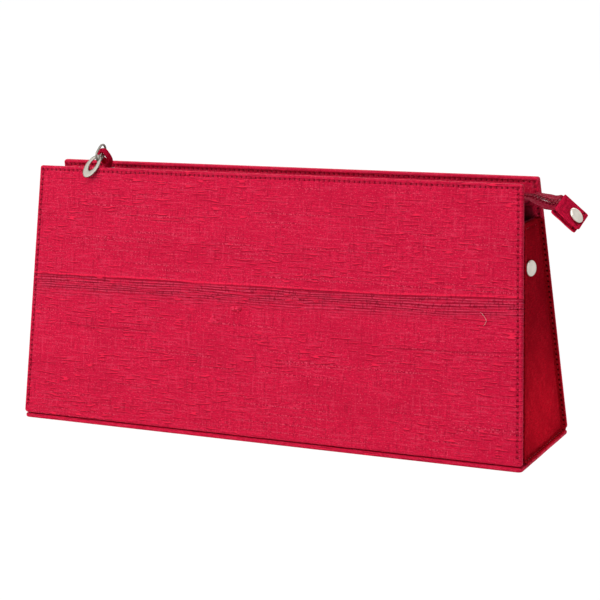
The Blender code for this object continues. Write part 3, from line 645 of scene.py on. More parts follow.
def band_of_ribs(surface, silk, place, threads):
    """The coarse band: its ribs, the rope on top, and painted shade between the ribs, under the rope and in
    notches.
    """
    tilt = -silk.grain_tilt
    axes = surface.split(surface.stretched(place, (1, 1, 1), tilt))
    wander = surface.noise(place, (34, 34, 1), shift=(1, 2, 0))
    up = surface.calc("ADD", axes[1], surface.times(surface.calc("SUBTRACT", wander, 0.5), BAND_WANDER))
    beyond = surface.calc("MAXIMUM", surface.calc("SUBTRACT", axes[0], BEND_FROM), 0.0)
    up = surface.calc("SUBTRACT", up, surface.times(beyond, beyond, BEND))
    inside = surface.times(
        surface.steps(up, silk.band - BAND_GONE, silk.band - BAND_FULL),
        surface.steps(up, silk.band + BAND_EDGE, silk.band - BAND_EDGE),
        surface.steps(threads["worn"], 0.38, 0.56, 0.3, 1.0),
    )
    sway = surface.times(threads["weft"], WEFT_SWAY)
    stripe = surface.calc("SINE", surface.calc("ADD", surface.times(up, RIBS), sway))
    rib = surface.times(inside, surface.steps(stripe, 0.0, 0.7))
    # Painted shadow: a dark line just under the rope
    line = surface.times(
        surface.near(up, silk.band, 0.00025, 0.00065),
        surface.steps(threads["extent"], 0.3, 0.5, 0.5, 1))
    rope = surface.times(
        surface.near(up, silk.band + ROPE_RISE, 0.0003, 0.0008),
        surface.steps(threads["crossing"], 0.36, 0.50, 0.35, 1))
    second = surface.times(
        surface.near(up, silk.band - SECOND_LINE, 0.0002, 0.0006),
        surface.steps(threads["extent"], 0.42, 0.52))
    # Painted shade: dark grooves between the ribs, together with the shadow under the rope and a second dark
    # line lower down
    gap = surface.times(inside, surface.steps(stripe, -0.2, -0.8))
    gap = surface.calc("MAXIMUM", gap, surface.calc("MAXIMUM", line, surface.times(second, 0.6)))
    # Painted shade in the notches where the cross threads dent the band
    notch_shade = surface.times(inside, surface.steps(threads["crossing"], 0.44, 0.34))
    return rib, gap, notch_shade, rope


def slubbed_silk(name, silk):
    """Raw silk of the panels: uneven weft threads, flecks, a coarse ribbed band and needle holes."""
    surface = Surface(name)
    steps, times = surface.steps, surface.times
    place = surface.weave()
    threads = {}
    for key, (across, up, shift, detail, rough) in PANEL_THREADS.items():
        threads[key] = surface.noise(place, (across, up, 1), detail, rough, -silk.grain_tilt, (*shift, 0))

    row = times(steps(threads["rows"], 0.60, 0.68), steps(threads["extent"], 0.46, 0.58))
    tick = times(row, steps(threads["beads"], 0.48, 0.36))
    where = steps(threads["slubbed"], 0.36, 0.54)
    slub = times(steps(threads["slubs"], 0.64, 0.72), where)
    # Painted shadow below each slub: a dark copy of the slubs, shifted a little, minus the slubs themselves
    under = times(steps(threads["slub_shadows"], 0.64, 0.72), where)
    under = surface.calc("MAXIMUM", surface.calc("SUBTRACT", under, slub), 0.0)
    rib, gap, notch_shade, rope = band_of_ribs(surface, silk, place, threads)
    bead = times(row, steps(threads["beads"], 0.50, 0.64))
    bead = surface.calc("MAXIMUM", bead, times(rib, steps(threads["beads"], 0.52, 0.64)))
    hole, pucker = needle_holes(surface, silk.stitch_pitch)

    base = silk.panel_colour
    deep, dark = scaled_colour(base, 0.72), scaled_colour(base, 0.36)
    pale = shifted_colour(base, 1.12, 4.0, 2.0, 0.02)
    vivid = shifted_colour(base, 1.3, 2.2, 1.35)
    surface.paint(
        surface.blend(steps(threads["streak"], 0.34, 0.66), deep, base),
        (steps(threads["grain"], 0.50, 0.70), 0.36, pale),
        (steps(threads["grain"], 0.46, 0.30), 0.40, dark),
        (steps(threads["long_streak"], 0.52, 0.68), 0.30, pale),
        (steps(threads["long_streak"], 0.44, 0.30), 0.40, deep),
        (steps(threads["cloud"], 0.48, 0.62), 0.30, deep),
        (steps(threads["warp"], 0.60, 0.72), 0.34, dark),
        (steps(threads["warp"], 0.40, 0.28), 0.22, pale),
        (steps(threads["specks"], 0.68, 0.80), 0.50, FLECK_COLOUR),
        (tick, 0.50, dark),
        (bead, 0.42, FLECK_COLOUR),
        (rib, 0.70, pale),
        (rope, 0.80, vivid),
        # painted shade in the band's grooves and notches
        (gap, 0.66, dark),
        (notch_shade, 0.65, dark),
        # painted shadow below the slubs
        (under, 0.60, dark),
        (slub, 0.75, vivid),
        # painted shade in the needle holes
        (hole, 0.86, scaled_colour(base, 0.08)),
    )
    height = surface.total(
        (threads["streak"], 0.5), (threads["grain"], 0.5), (threads["warp"], 0.5), (slub, 1.0), (bead, 0.6),
        (rope, 0.6), (rib, 1.0), (gap, -1.0), (notch_shade, -0.6), (pucker, -1.4))
    surface.bump(height, 0.00022)
    return surface.finish(steps(threads["streak"], 0.3, 0.7, 0.70, 0.58), tint=SILK_TINT, specular=0.10)


def smooth_silk(name, colour, pitch):
    """Plain fine silk of the gussets, the tab, the loop and the knots."""
    surface = Surface(name)
    place = surface.weave()
    threads = surface.noise(place, (300, 2000, 1), 2, 0.6)
    warp = surface.noise(place, (2000, 300, 1), 2, 0.55, shift=(4, 2, 0))
    cloud = surface.noise(place, (70, 70, 1), 3, 0.55)
    hole, pucker = needle_holes(surface, pitch)
    deep = scaled_colour(colour, 0.62)
    surface.paint(
        surface.blend(surface.steps(threads, 0.36, 0.64), deep, colour),
        (surface.steps(warp, 0.52, 0.70), 0.40, shifted_colour(colour, 1.25, 3.0, 1.8, 0.01)),
        (surface.steps(cloud, 0.44, 0.62), 0.50, deep),
        # painted shade in the needle holes
        (hole, 0.92, scaled_colour(colour, 0.06)),
    )
    surface.bump(surface.total((threads, 0.6), (warp, 0.6), (cloud, 0.9), (pucker, -1.6)), 0.00018)
    return surface.finish(surface.steps(cloud, 0.3, 0.7, 0.58, 0.70), tint=SILK_TINT, specular=0.0)


def woven_tape(name, colour):
    """Ribbed polyester tape of the zip."""
    surface = Surface(name)
    place = surface.weave()
    axes = surface.split(place)
    cross = surface.times(surface.waves(axes[0], 9000.0), surface.waves(axes[1], 10500.0))
    uneven = surface.noise(place, (400, 900, 1), 3, 0.6)
    surface.paint(
        surface.blend(surface.steps(cross, -0.8, 0.8), scaled_colour(colour, 0.6), colour),
        (surface.steps(uneven, 0.5, 0.7), 0.4, shifted_colour(colour, 1.2, 3.0, 2.0)),
    )
    surface.bump(surface.total((cross, 1.0), (uneven, 2.0)), 0.00008)
    return surface.finish(surface.steps(uneven, 0.3, 0.7, 0.7, 0.55), tint=SILK_TINT, specular=0.08)


def lining_cloth(name, colour):
    """Fine plain-woven lining."""
    surface = Surface(name)
    place = surface.object_place()
    axes = surface.split(place)
    level = surface.calc("ADD", axes[0], axes[1])
    cross = surface.times(surface.waves(axes[2], 12000.0), surface.waves(level, 12000.0))
    uneven = surface.noise(place, (220, 220, 900), 3, 0.6)
    surface.paint(
        surface.blend(surface.steps(cross, -0.8, 0.8), scaled_colour(colour, 0.7), colour),
        (surface.steps(uneven, 0.45, 0.7), 0.4, scaled_colour(colour, 1.4)),
    )
    surface.bump(surface.calc("ADD", cross, uneven), 0.00006)
    return surface.finish(surface.steps(uneven, 0.3, 0.7, 0.75, 0.6), tint=(1, 0.3, 0.4), specular=0.2)


def twisted_thread(name, colour):
    """Sewing thread, two strands twisted together."""
    surface = Surface(name)
    axes = surface.split(surface.weave())
    twist = surface.total((axes[0], 9000.0), (axes[1], 2 * math.pi))
    strand = surface.calc("SINE", twist)
    dirt = surface.noise(surface.object_place(), (800, 800, 800))
    surface.paint(
        surface.blend(surface.steps(strand, -0.9, 0.5), scaled_colour(colour, 0.55), colour),
        (surface.steps(dirt, 0.45, 0.7), 0.5, shifted_colour(colour, 1.15, 4.0, 2.2)),
    )
    surface.bump(strand, 0.00006)
    return surface.finish(surface.steps(dirt, 0.3, 0.7, 0.5, 0.38), tint=(1, 0.25, 0.35), specular=0.3)


def greyboard(name):
    """Pressed grey board with darker fibres."""
    surface = Surface(name)
    place = surface.object_place()
    fibre = surface.noise(place, (900, 900, 260), 4, 0.7, warp=0.6)
    cloud = surface.noise(place, (70, 70, 70), 3, 0.6)
    surface.paint(
        surface.blend(surface.steps(fibre, 0.35, 0.62), (0.22, 0.19, 0.15), (0.46, 0.42, 0.35)),
        (cloud, 0.4, (0.36, 0.33, 0.28)),
    )
    surface.bump(fibre, 0.0001)
    return surface.finish(surface.steps(fibre, 0.3, 0.7, 0.95, 0.85), specular=0.2)


def plated_metal(name, metal, share=1.0, dulling=0.0):
    """Nickel plate with the faint haze and fine scratches of use, made darker by share, which paints shade on
    a copy.
    """
    surface = Surface(name)
    place = surface.object_place()
    haze = surface.noise(place, (240, 240, 240), 3, 0.6)
    scratch = surface.noise(place, (2600, 300, 900), 2, 0.7, turn=0.6)
    dull, bright = scaled_colour(metal.colour, 0.86 * share), scaled_colour(metal.colour, share)
    surface.paint(surface.blend(surface.steps(haze, 0.35, 0.65), dull, bright))
    surface.bump(surface.total((haze, 1.0), (scratch, 0.4)), 0.00002)
    rough = metal.roughness + dulling
    return surface.finish(surface.steps(haze, 0.3, 0.7, rough - 0.05, rough + 0.08), metallic=1.0)


def painted_metal(name, colour):
    """Red paint baked on the slider, a little uneven."""
    surface = Surface(name)
    place = surface.object_place()
    peel = surface.noise(place, (1400, 1400, 1400))
    cloud = surface.noise(place, (200, 200, 200))
    thin, thick = scaled_colour(colour, 0.75), scaled_colour(colour, 1.25)
    surface.paint(surface.blend(surface.steps(cloud, 0.35, 0.65), thin, thick))
    surface.bump(peel, 0.00003)
    return surface.finish(surface.steps(cloud, 0.3, 0.7, 0.26, 0.38))


def coil_plastic(name, colour):
    """Drawn filament of the zip's coil."""
    surface = Surface(name)
    place = surface.object_place()
    drawn = surface.noise(place, (1800, 400, 1800), 2, 0.6)
    cloud = surface.noise(place, (90, 300, 300))
    thin, thick = scaled_colour(colour, 0.7), scaled_colour(colour, 1.3)
    surface.paint(surface.blend(surface.steps(cloud, 0.35, 0.65), thin, thick))
    surface.bump(drawn, 0.00003)
    return surface.finish(surface.steps(drawn, 0.3, 0.7, 0.40, 0.54), tint=(1, 0.2, 0.3), specular=0.10)


# Panels and base

def slub_height(x, v, silk):
    """Relief of the thick weft threads at a place on a panel."""
    v -= x * math.tan(silk.grain_tilt) + BEND * max(x - BEND_FROM, 0.0) ** 2
    high = 0.0
    depth = silk.band - v
    if -0.001 < depth < 0.014:
        fade = smooth((0.0135 - depth) / 0.009)
        fade *= smooth((depth + 0.0004) / 0.0008)
        rib = noise.noise(Vector((x * 22, v * 900, 4.0)))
        high += silk.slub * 2.2 * fade * rib
        high -= silk.slub * 1.2 * bell(depth, 0.0004)
    strength = noise.noise(Vector((x * 9, v * 330, 11.0)))
    high += silk.slub * 0.9 * max(strength - 0.22, 0.0) * 2.0
    high += silk.slub * 0.35 * noise.noise(Vector((x * 60, v * 700, 2.0)))
    return high


# Swellings of the panels' silk under the knots, as (place across, place up, size)
BUDS = (
    (-0.0270, 0.0584, 0.0012), (-0.0138, 0.0656, 0.0011), (-0.0158, 0.0656, 0.0008), (0.079, 0.0895, 0.0006),
)
KNOT_COLOUR = (0.88, 0.030, 0.095)
# Knots in the weft of the front, as (place across, place up, reach across, reach up, height)
KNOTS = (
    (-0.0272, 0.0582, 0.0022, 0.0016, 0.0013), (-0.0292, 0.0573, 0.0013, 0.0008, 0.0009),
    (-0.0250, 0.0575, 0.0018, 0.0007, 0.0009), (-0.0274, 0.0602, 0.0008, 0.0013, 0.0008),
    (-0.0156, 0.0653, 0.0016, 0.0011, 0.0012), (-0.0127, 0.0656, 0.0017, 0.0014, 0.0014),
    (0.0730, 0.0905, 0.0014, 0.0006, 0.0005), (-0.0935, 0.0398, 0.0016, 0.0006, 0.0005),
    (0.0905, 0.0560, 0.0020, 0.0006, 0.0005), (0.0335, 0.0300, 0.0018, 0.0006, 0.0005),
)
# A weft thread that has come loose on the front, as (place across, place up, height)
LOOSE_COLOUR = (0.85, 0.42, 0.45)
LOOSE_THREAD = (
    (0.1190, 0.0728, 0.0001), (0.1200, 0.0722, 0.0005), (0.1213, 0.0710, 0.0008), (0.1223, 0.0697, 0.0009),
    (0.1225, 0.0686, 0.0008), (0.1219, 0.0674, 0.0005), (0.1210, 0.0664, 0.0001),
)


def bud_height(x, v):
    """Height of the swellings under the knots."""
    high = 0.0
    for at_x, at_v, size in BUDS:
        high += 0.55 * size * bell(x - at_x, size * 1.3) * bell(v - at_v, size * 0.7)
    return high


def stitch_place(x, v, silk):
    """How far a place on a panel is along the nearest row of stitches, and how far from its edge."""
    corners = inset_corners(panel_corners(), silk.stitch_inset)
    right_foot, right_top, left_top = corners[1], corners[2], corners[3]
    slope = (right_top - right_foot).normalized()
    rows = []
    point = Vector((abs(x), v))
    away = (point - right_foot).cross(slope)
    start = STITCH_FOOT - silk.stitch_inset
    length = (right_top - right_foot).length - start
    count = round(length / silk.stitch_pitch)
    rows.append((-away, ((point - right_foot).dot(slope) - start) / length * count))
    length = (right_top - left_top).length
    count = round(length / silk.stitch_pitch)
    rows.append((right_top.y - v, (x - left_top.x) / length * count))
    return min(rows, key=lambda row: row[0])


def cover_rim():
    """(inset, depth, distance round the edge) of the rings of a panel's rim, face to pocket."""
    face = [
        (0.0029, 0.0), (0.0026, 0.0), (0.0024, 0.0), (0.0022, 0.0), (0.0020, 0.0), (0.0017, 0.0),
        (0.0013, 0.0), (0.0009, 0.0), (0.00055, 0.00008), (0.00028, 0.00028), (0.0001, 0.00055),
        (0.0, 0.0009), (0.0, 0.0015), (0.0, 0.0020), (0.00012, 0.00235), (0.00035, 0.0026),
        (0.0007, 0.00275), (0.0013, PANEL), (0.0019, PANEL), (0.0022, PANEL), (0.0025, PANEL),
        (0.0032, PANEL), (0.0060, PANEL), (TURN_IN, PANEL),
    ]
    rings = []
    round_edge = RIM_INSET
    last = (RIM_INSET, 0.0)
    for inset, depth in face:
        round_edge -= math.hypot(inset - last[0], depth - last[1])
        rings.append((inset, depth, round_edge))
        last = (inset, depth)
    hidden = [(TURN_IN, PANEL - SILK), (SILK, PANEL - SILK), (SILK, SILK)]
    rings += [(inset, depth, round_edge) for inset, depth in hidden]
    return rings


def edge_relief(inset, v, x, silk, outer):
    """The stitched groove and the roll outside it, as height over the flat face."""
    sewn = smooth((v - STITCH_FOOT + 0.002) / 0.003)
    uneven = 1 + 0.5 * noise.noise(Vector((x * 90, v * 90, 3.0 if outer else 8.0)))
    groove = -0.00034 * bell(inset - silk.stitch_inset, 0.0004) * sewn
    roll = 0.00017 * bell(inset - 0.0011, 0.0007) * uneven
    return groove + roll


def cover_mesh(side, silk):
    """A silk-wrapped panel in the row frame, with its thread places and stitch marks."""
    across = stations(BOTTOM_WIDTH, COVER_STEP, COVER_FINE, COVER_ZONE)
    low, high = (silk.band - 0.015) / SLOPE, (silk.band + 0.003) / SLOPE
    up = [p for p in stations(SLOPE, COVER_RISE, COVER_FINE, COVER_ZONE) if p < low or p > high]
    up = sorted(up + [lerp(low, high, k / BAND_ROWS) for k in range(BAND_ROWS + 1)])
    corners = panel_corners()
    radii = (FOOT_CORNER, FOOT_CORNER, TOP_CORNER, TOP_CORNER)
    inner = inset_corners(corners, RIM_INSET)
    bm = bmesh.new()
    places, marks = [], []

    def vertex(x, v, inset, n, weave):
        made = bm.verts.new((x, v, n))
        places.append((weave.x, weave.y))
        _, run = stitch_place(x, v, silk)
        sewn = v > STITCH_FOOT - 0.0005
        marks.append((run, inset - silk.stitch_inset if sewn else UNSEWN[1]))
        return made

    grid = []
    for share_up in up:
        left = inner[0].lerp(inner[3], share_up)
        right = inner[1].lerp(inner[2], share_up)
        row = []
        for share in across:
            p = left.lerp(right, share)
            away, _ = stitch_place(p.x, p.y, silk)
            inset = min(away + silk.stitch_inset, 0.02)
            fade = smooth((inset - 0.001) / 0.003)
            n = slub_height(p.x, p.y, silk) * lerp(0.5, 1, fade) + bud_height(p.x, p.y)
            row.append(vertex(p.x, p.y, inset, n, p))
        grid.append(row)
    for a, b in zip(grid, grid[1:]):
        for i in range(len(a) - 1):
            bm.faces.new((a[i], a[i + 1], b[i + 1], b[i]))
    rim = grid[0][:-1] + [row[-1] for row in grid[:-1]] + grid[-1][:0:-1] + [row[0] for row in grid[:0:-1]]
    last = rim
    for inset, depth, round_edge in cover_rim():
        outline = rim_ring(corners, inset, radii, (across, up))
        threads = rim_ring(corners, round_edge, (0, 0, 0, 0), (across, up))
        outer = depth < PANEL / 2
        ring = []
        for p, weave in zip(outline, threads):
            n = -depth
            if outer:
                n += edge_relief(inset, p.y, p.x, silk, True)
                n += slub_height(p.x, p.y, silk) * 0.5 * smooth(inset / 0.001)
            elif depth > PANEL - SILK / 4:
                n -= edge_relief(inset, p.y, p.x, silk, False)
            ring.append(vertex(p.x, p.y, inset, n, weave))
        count = len(ring)
        for i in range(count):
            j = (i + 1) % count
            bm.faces.new((last[i], ring[i], ring[j], last[j]))
        last = ring
    bm.faces.new(last)
    bm.transform(panel_place(side))
    turn_out(bm)
    return bm, places, marks


def stitch_shape(thread, length):
    """One stitch along +X, its ends diving into the cloth, as rings of points and their places."""
    rings, places = [], []
    steps, sides = 6, 6
    for k in range(steps + 1):
        share = k / steps
        swell = math.sin(math.pi * (0.12 + 0.76 * share))
        radius = thread / 2 * (0.45 + 0.55 * swell)
        lift = thread * (1.1 * swell - 0.85)
        x = length * (share - 0.5) * 0.94
        ring = []
        for n in range(sides):
            angle = 2 * math.pi * n / sides
            ring.append(Vector((x, radius * math.cos(angle), lift + radius * 0.8 * math.sin(angle))))
            places.append((x, n / sides))
        rings.append(ring)
    return rings, places


def sewn_rows(name, rows, silk, surface, body, sink=0.0):
    """Sews stitches along rows of (points, normals); each pair of points is one stitch."""
    bm = bmesh.new()
    places = []
    for line in rows:
        for (start, normal), (end, _) in zip(line, line[1:]):
            along = (end - start).normalized()
            normal = (normal - along * normal.dot(along)).normalized()
            place = Matrix((along, normal.cross(along), normal)).transposed().to_4x4()
            place.translation = (start + end) / 2 - normal * sink
            rings, threads = stitch_shape(silk.thread, (end - start).length)
            placed = [[bm.verts.new(place @ p) for p in ring] for ring in rings]
            places += threads
            for low, high in zip(placed, placed[1:]):
                for i in range(len(low)):
                    j = (i + 1) % len(low)
                    bm.faces.new((low[i], low[j], high[j], high[i]))
            bm.faces.new(reversed(placed[0]))
            bm.faces.new(placed[-1])
    bmesh.ops.recalc_face_normals(bm, faces=bm.faces)
    made = new_object(name, bm, surface, 80)
    lay_weave(made, places)
    return settle(made, body, "trim_silk")


def even_points(start, end, pitch):
    """Points of a straight row of stitches, both ends included."""
    count = max(round((end - start).length / pitch), 1)
    return [start.lerp(end, k / count) for k in range(count + 1)]


def panel_rows(side, silk, depth, facing):
    """The rows up one side, along the top and down the other side of a panel."""
    corners = inset_corners(panel_corners(), silk.stitch_inset)
    rise = STITCH_FOOT - silk.stitch_inset
    left_foot = corners[0] + (corners[3] - corners[0]).normalized() * rise
    right_foot = corners[1] + (corners[2] - corners[1]).normalized() * rise
    place = panel_place(side)
    normal = place.to_3x3() @ Vector((0, 0, facing))
    rows = []
    for a, b in ((left_foot, corners[3]), (corners[3], corners[2]), (right_foot, corners[2])):
        points = even_points(a, b, silk.stitch_pitch)
        rows.append([(place @ Vector((p.x, p.y, -depth)), normal) for p in points])
    return rows


class CLUTCH_OT_panels(bpy.types.Operator):
    """Makes the two slubbed silk panels with their rolled and stitched edges"""

    bl_idname = "clutch.panels"
    bl_label = "Silk Panels"

    def execute(self, context):
        silk = context.scene.clutch_silk
        surface = slubbed_silk("panel_silk", silk)
        thread = twisted_thread("panel_thread", silk.panel_colour)
        for name, side in front_and_back():
            bm, places, marks = cover_mesh(side, silk)
            panel = new_object(name + "_silk_panel", bm, surface, 60)
            lay_weave(panel, places)
            mark_stitches(panel, marks)
            settle(panel, "bag", "panel_silk", name + "_cover")
            rows = panel_rows(side, silk, 0.0, 1) + panel_rows(side, silk, PANEL, -1)
            sewn_rows(name + "_panel_stitches", rows, silk, thread, "bag", sink=0.00012)
        return {"FINISHED"}


class CLUTCH_OT_knots(bpy.types.Operator):
    """Makes the knots and the loose thread that stand out of the front panel's weft"""

    bl_idname = "clutch.knots"
    bl_label = "Weft Knots"

    def execute(self, context):
        silk = context.scene.clutch_silk
        place = panel_place(-1)
        bm = bmesh.new()
        for x, v, across, up, high in KNOTS:
            lump = place @ Matrix.Translation((x, v, 0.0)) @ Matrix.Diagonal((across, up, high, 1))
            made = bmesh.ops.create_icosphere(bm, subdivisions=3, radius=1, matrix=lump)
            for vertex in made["verts"]:
                vertex.co += (vertex.co - lump.translation) * 0.5 * noise.noise(vertex.co * 1900)
        turn_out(bm)
        back = place.inverted()
        knots = new_object("weft_knots", bm, smooth_silk("knot_silk", KNOT_COLOUR, silk.stitch_pitch), 80)
        lay_weave(knots, [tuple((back @ vertex.co).xy) for vertex in knots.data.vertices])
        mark_stitches(knots, [UNSEWN] * len(knots.data.vertices))
        settle(knots, "bag", "panel_silk")

        points = [Vector(p) for p in LOOSE_THREAD]
        rings, places, run = [], [], 0.0
        radius = silk.thread * 0.22
        sides = 6
        for k, point in enumerate(points):
            along = (points[min(k + 1, len(points) - 1)] - points[max(k - 1, 0)]).normalized()
            out = along.cross(Vector((0, 0, 1))).normalized()
            up = out.cross(along)
            run += (point - points[max(k - 1, 0)]).length
            ring = []
            for n in range(sides):
                angle = 2 * math.pi * n / sides
                ring.append(place @ (point + (out * math.cos(angle) + up * math.sin(angle)) * radius))
                places.append((run, n / sides))
            rings.append(ring)
        bm = skin(rings)
        turn_out(bm)
        thread = new_object("loose_weft", bm, twisted_thread("loose_weft_thread", LOOSE_COLOUR), 80)
        lay_weave(thread, places)
        settle(thread, "bag", "panel_silk")
        return {"FINISHED"}


class CLUTCH_OT_base(bpy.types.Operator):
    """Makes the silk-covered base with its rolled rim"""

    bl_idname = "clutch.base"
    bl_label = "Silk Base"

    def execute(self, context):
        silk = context.scene.clutch_silk
        corners = base_corners()
        radii = (BASE_CORNER,) * 4
        across = stations(BOTTOM_WIDTH, 0.003, 0.0007, 0.006)
        up = stations(BOTTOM_DEPTH, 0.003, 0.0007, 0.006)
        arc = 8
        profile = []
        roll = BASE / 2
        for k in range(arc + 1):
            angle = math.pi * k / arc
            profile.append((roll * 0.8 * (1 - math.sin(angle)), roll * (1 - math.cos(angle))))
        profile = [(TURN_IN * 2, 0.0), (TURN_IN, 0.0), (0.004, 0.0), (0.002, 0.0)] + profile
        profile += [(0.002, BASE), (0.004, BASE), (TURN_IN, BASE)]
        travel, last = 0.02, profile[0]
        rings, places = [], []
        for inset, z in profile:
            travel -= math.hypot(inset - last[0], z - last[1])
            last = (inset, z)
            outline = rim_ring(corners, inset, radii, (across, up))
            threads = rim_ring(corners, travel, (0, 0, 0, 0), (across, up))
            ring = []
            for p, weave in zip(outline, threads):
                soft = 0.00008 * noise.noise(Vector((p.x * 80, p.y * 80, z * 200)))
                lift = soft if 0 < z < BASE else 0.0
                x = p.x + lift * math.copysign(1, -p.x)
                y = p.y + lift * math.copysign(1, -p.y)
                ring.append(Vector((x, y, z)))
                places.append((weave.x, weave.y))
            rings.append(ring)
        bm = skin(rings)
        turn_out(bm)
        made = new_object("silk_base", bm, slubbed_silk("base_silk", silk), 60)
        lay_weave(made, places)
        mark_stitches(made, [UNSEWN] * len(places))
        settle(made, "bag", "panel_silk", "base_cover")
        return {"FINISHED"}


# Gussets

def gusset_bow(y, z):
    across = 1 - min(abs(y) / half_inside(z), 1.0) ** 2
    return GUSSET_BOW * across * smooth(z / GUSSET_TOP)


def gusset_x(y, z):
    """The outer face of the gusset's web, on the right of the bag."""
    return half_width(z) - GUSSET_RECESS - gusset_bow(y, z)


def gusset_edge(foot, gap, rows=22, arc=5):
    """One edge of a gusset, from its top down round the corner at its foot, as (half depth, z)."""
    centre_z = foot + GUSSET_CORNER
    edge = []
    for k in range(rows + 1):
        z = lerp(GUSSET_TOP, centre_z, k / rows)
        edge.append((half_inside(z) - gap, z))
    centre_y = edge[-1][0] - GUSSET_CORNER
    for k in range(1, arc + 1):
        angle = math.pi / 2 * k / arc
        edge.append((centre_y + GUSSET_CORNER * math.cos(angle), centre_z - GUSSET_CORNER * math.sin(angle)))
    return edge


def gusset_sheet(side):
    """The open sheet of a gusset: a dished web and flanges turned out on three edges."""
    edge = gusset_edge(BASE + FIT, FIT)
    bm = bmesh.new()
    back = GUSSET_RECESS + GUSSET_SHEET
    columns = [-1 + 2 * k / 18 for k in range(19)]

    def flange_x(z):
        rim = half_width(z)
        return [lerp(rim + FLANGE_PROUD, rim - back + GUSSET_FOLD, k / 4) for k in range(5)]

    for hand in (-1, 1):
        weld_grid(bm, [[(side * x, hand * y, z) for x in flange_x(z)] for y, z in edge])
        fold = []
        for k, (y, z) in enumerate(edge):
            lift = GUSSET_FOLD if k == len(edge) - 1 else 0.0
            near = (side * (half_width(z) - back + GUSSET_FOLD), hand * y, z)
            web_y, web_z = y - GUSSET_FOLD, z + lift
            far = (side * (gusset_x(web_y, web_z) - GUSSET_SHEET), hand * web_y, web_z)
            fold.append((near, far))
        weld_grid(bm, fold)
    web = []
    for k, (y, z) in enumerate(edge):
        lift = GUSSET_FOLD if k == len(edge) - 1 else 0.0
        row = []
        for share in columns:
            across = share * (y - GUSSET_FOLD)
            row.append((side * (gusset_x(across, z + lift) - GUSSET_SHEET), across, z + lift))
        web.append(row)
    weld_grid(bm, web)
    y, z = edge[-1]
    foot = [web[-1]]
    for x in reversed(flange_x(z)):
        foot.append([(side * x, share * y, z) for share in columns])
    weld_grid(bm, foot)
    bmesh.ops.remove_doubles(bm, verts=bm.verts, dist=1e-6)
    bmesh.ops.recalc_face_normals(bm, faces=bm.faces)
    web_face = max(bm.faces, key=lambda f: abs(f.normal.x) * f.calc_area())
    if web_face.normal.x * side < 0:
        bmesh.ops.reverse_faces(bm, faces=bm.faces)
    return bm


def gusset_marks(co, side, silk):
    """Where a point of a gusset lies on the flange's or the hem's row of stitches."""
    x, y, z = side * co.x, abs(co.y), co.z
    rim = half_width(z) + FLANGE_PROUD
    on_flange = y > half_inside(z) - FIT - 1.6 * GUSSET_SHEET or z < BASE + FIT + 1.6 * GUSSET_SHEET
    on_flange = on_flange and x > rim - GUSSET_RECESS
    hem = abs(z - (GUSSET_TOP - HEM))
    if on_flange:
        along = co.y if z < BASE + FIT + 1.6 * GUSSET_SHEET else z
        return along / silk.stitch_pitch, rim - x - FLANGE_STITCH
    if hem < 0.002:
        return co.y / silk.stitch_pitch, hem
    return UNSEWN


def gusset_rows(side, silk):
    """Rows of stitches on the flanges and along the hem of a gusset."""
    rows = []
    pitch = silk.stitch_pitch
    lift = GUSSET_SHEET
    first = math.ceil((BASE + FIT + GUSSET_CORNER) / pitch)
    last = math.floor((GUSSET_TOP - 0.001) / pitch)
    for hand in (-1, 1):
        row = []
        for k in range(first, last + 1):
            z = k * pitch
            x = half_width(z) + FLANGE_PROUD - FLANGE_STITCH
            y = half_inside(z) - FIT - lift
            row.append((Vector((side * x, hand * y, z)), Vector((0, -hand, 0))))
        rows.append(row)
    reach = math.floor((half_inside(BASE + FIT) - GUSSET_CORNER) / pitch)
    z = BASE + FIT + lift
    x = half_width(z) + FLANGE_PROUD - FLANGE_STITCH
    rows.append([(Vector((side * x, k * pitch, z)), Vector((0, 0, 1))) for k in range(-reach, reach + 1)])
    z = GUSSET_TOP - HEM
    reach = math.floor((half_inside(z) - 0.0022) / pitch)
    rows.append([
        (Vector((side * gusset_x(k * pitch, z), k * pitch, z)), Vector((side, 0, 0)))
        for k in range(-reach, reach + 1)
    ])
    return rows


def gusset_creases(co, side):
    """Soft hollows and folds of the loose silk between the flanges."""
    y, z = co.y, co.z
    inside = smooth((half_inside(z) - abs(y) - 0.002) / 0.006) * smooth((z - 0.006) / 0.012)
    fold = 0.0010 * noise.noise(Vector((y * 45, z * 18, 5.0 + side)))
    fold += 0.00035 * noise.noise(Vector((y * 130, z * 50, 9.0 + side)))
    hem = 0.00022 * bell(z - (GUSSET_TOP - 0.0012), 0.0011) - 0.00022 * bell(z - (GUSSET_TOP - HEM), 0.0006)
    drop = z - GUSSET_SNAP_Z
    leaning = SNAP_LEAN * y * bell(y, 0.0075) * bell(drop, 0.013) if side > 0 else 0.0
    return inside * fold + hem * smooth((half_inside(z) - abs(y) - 0.001) / 0.002) + leaning


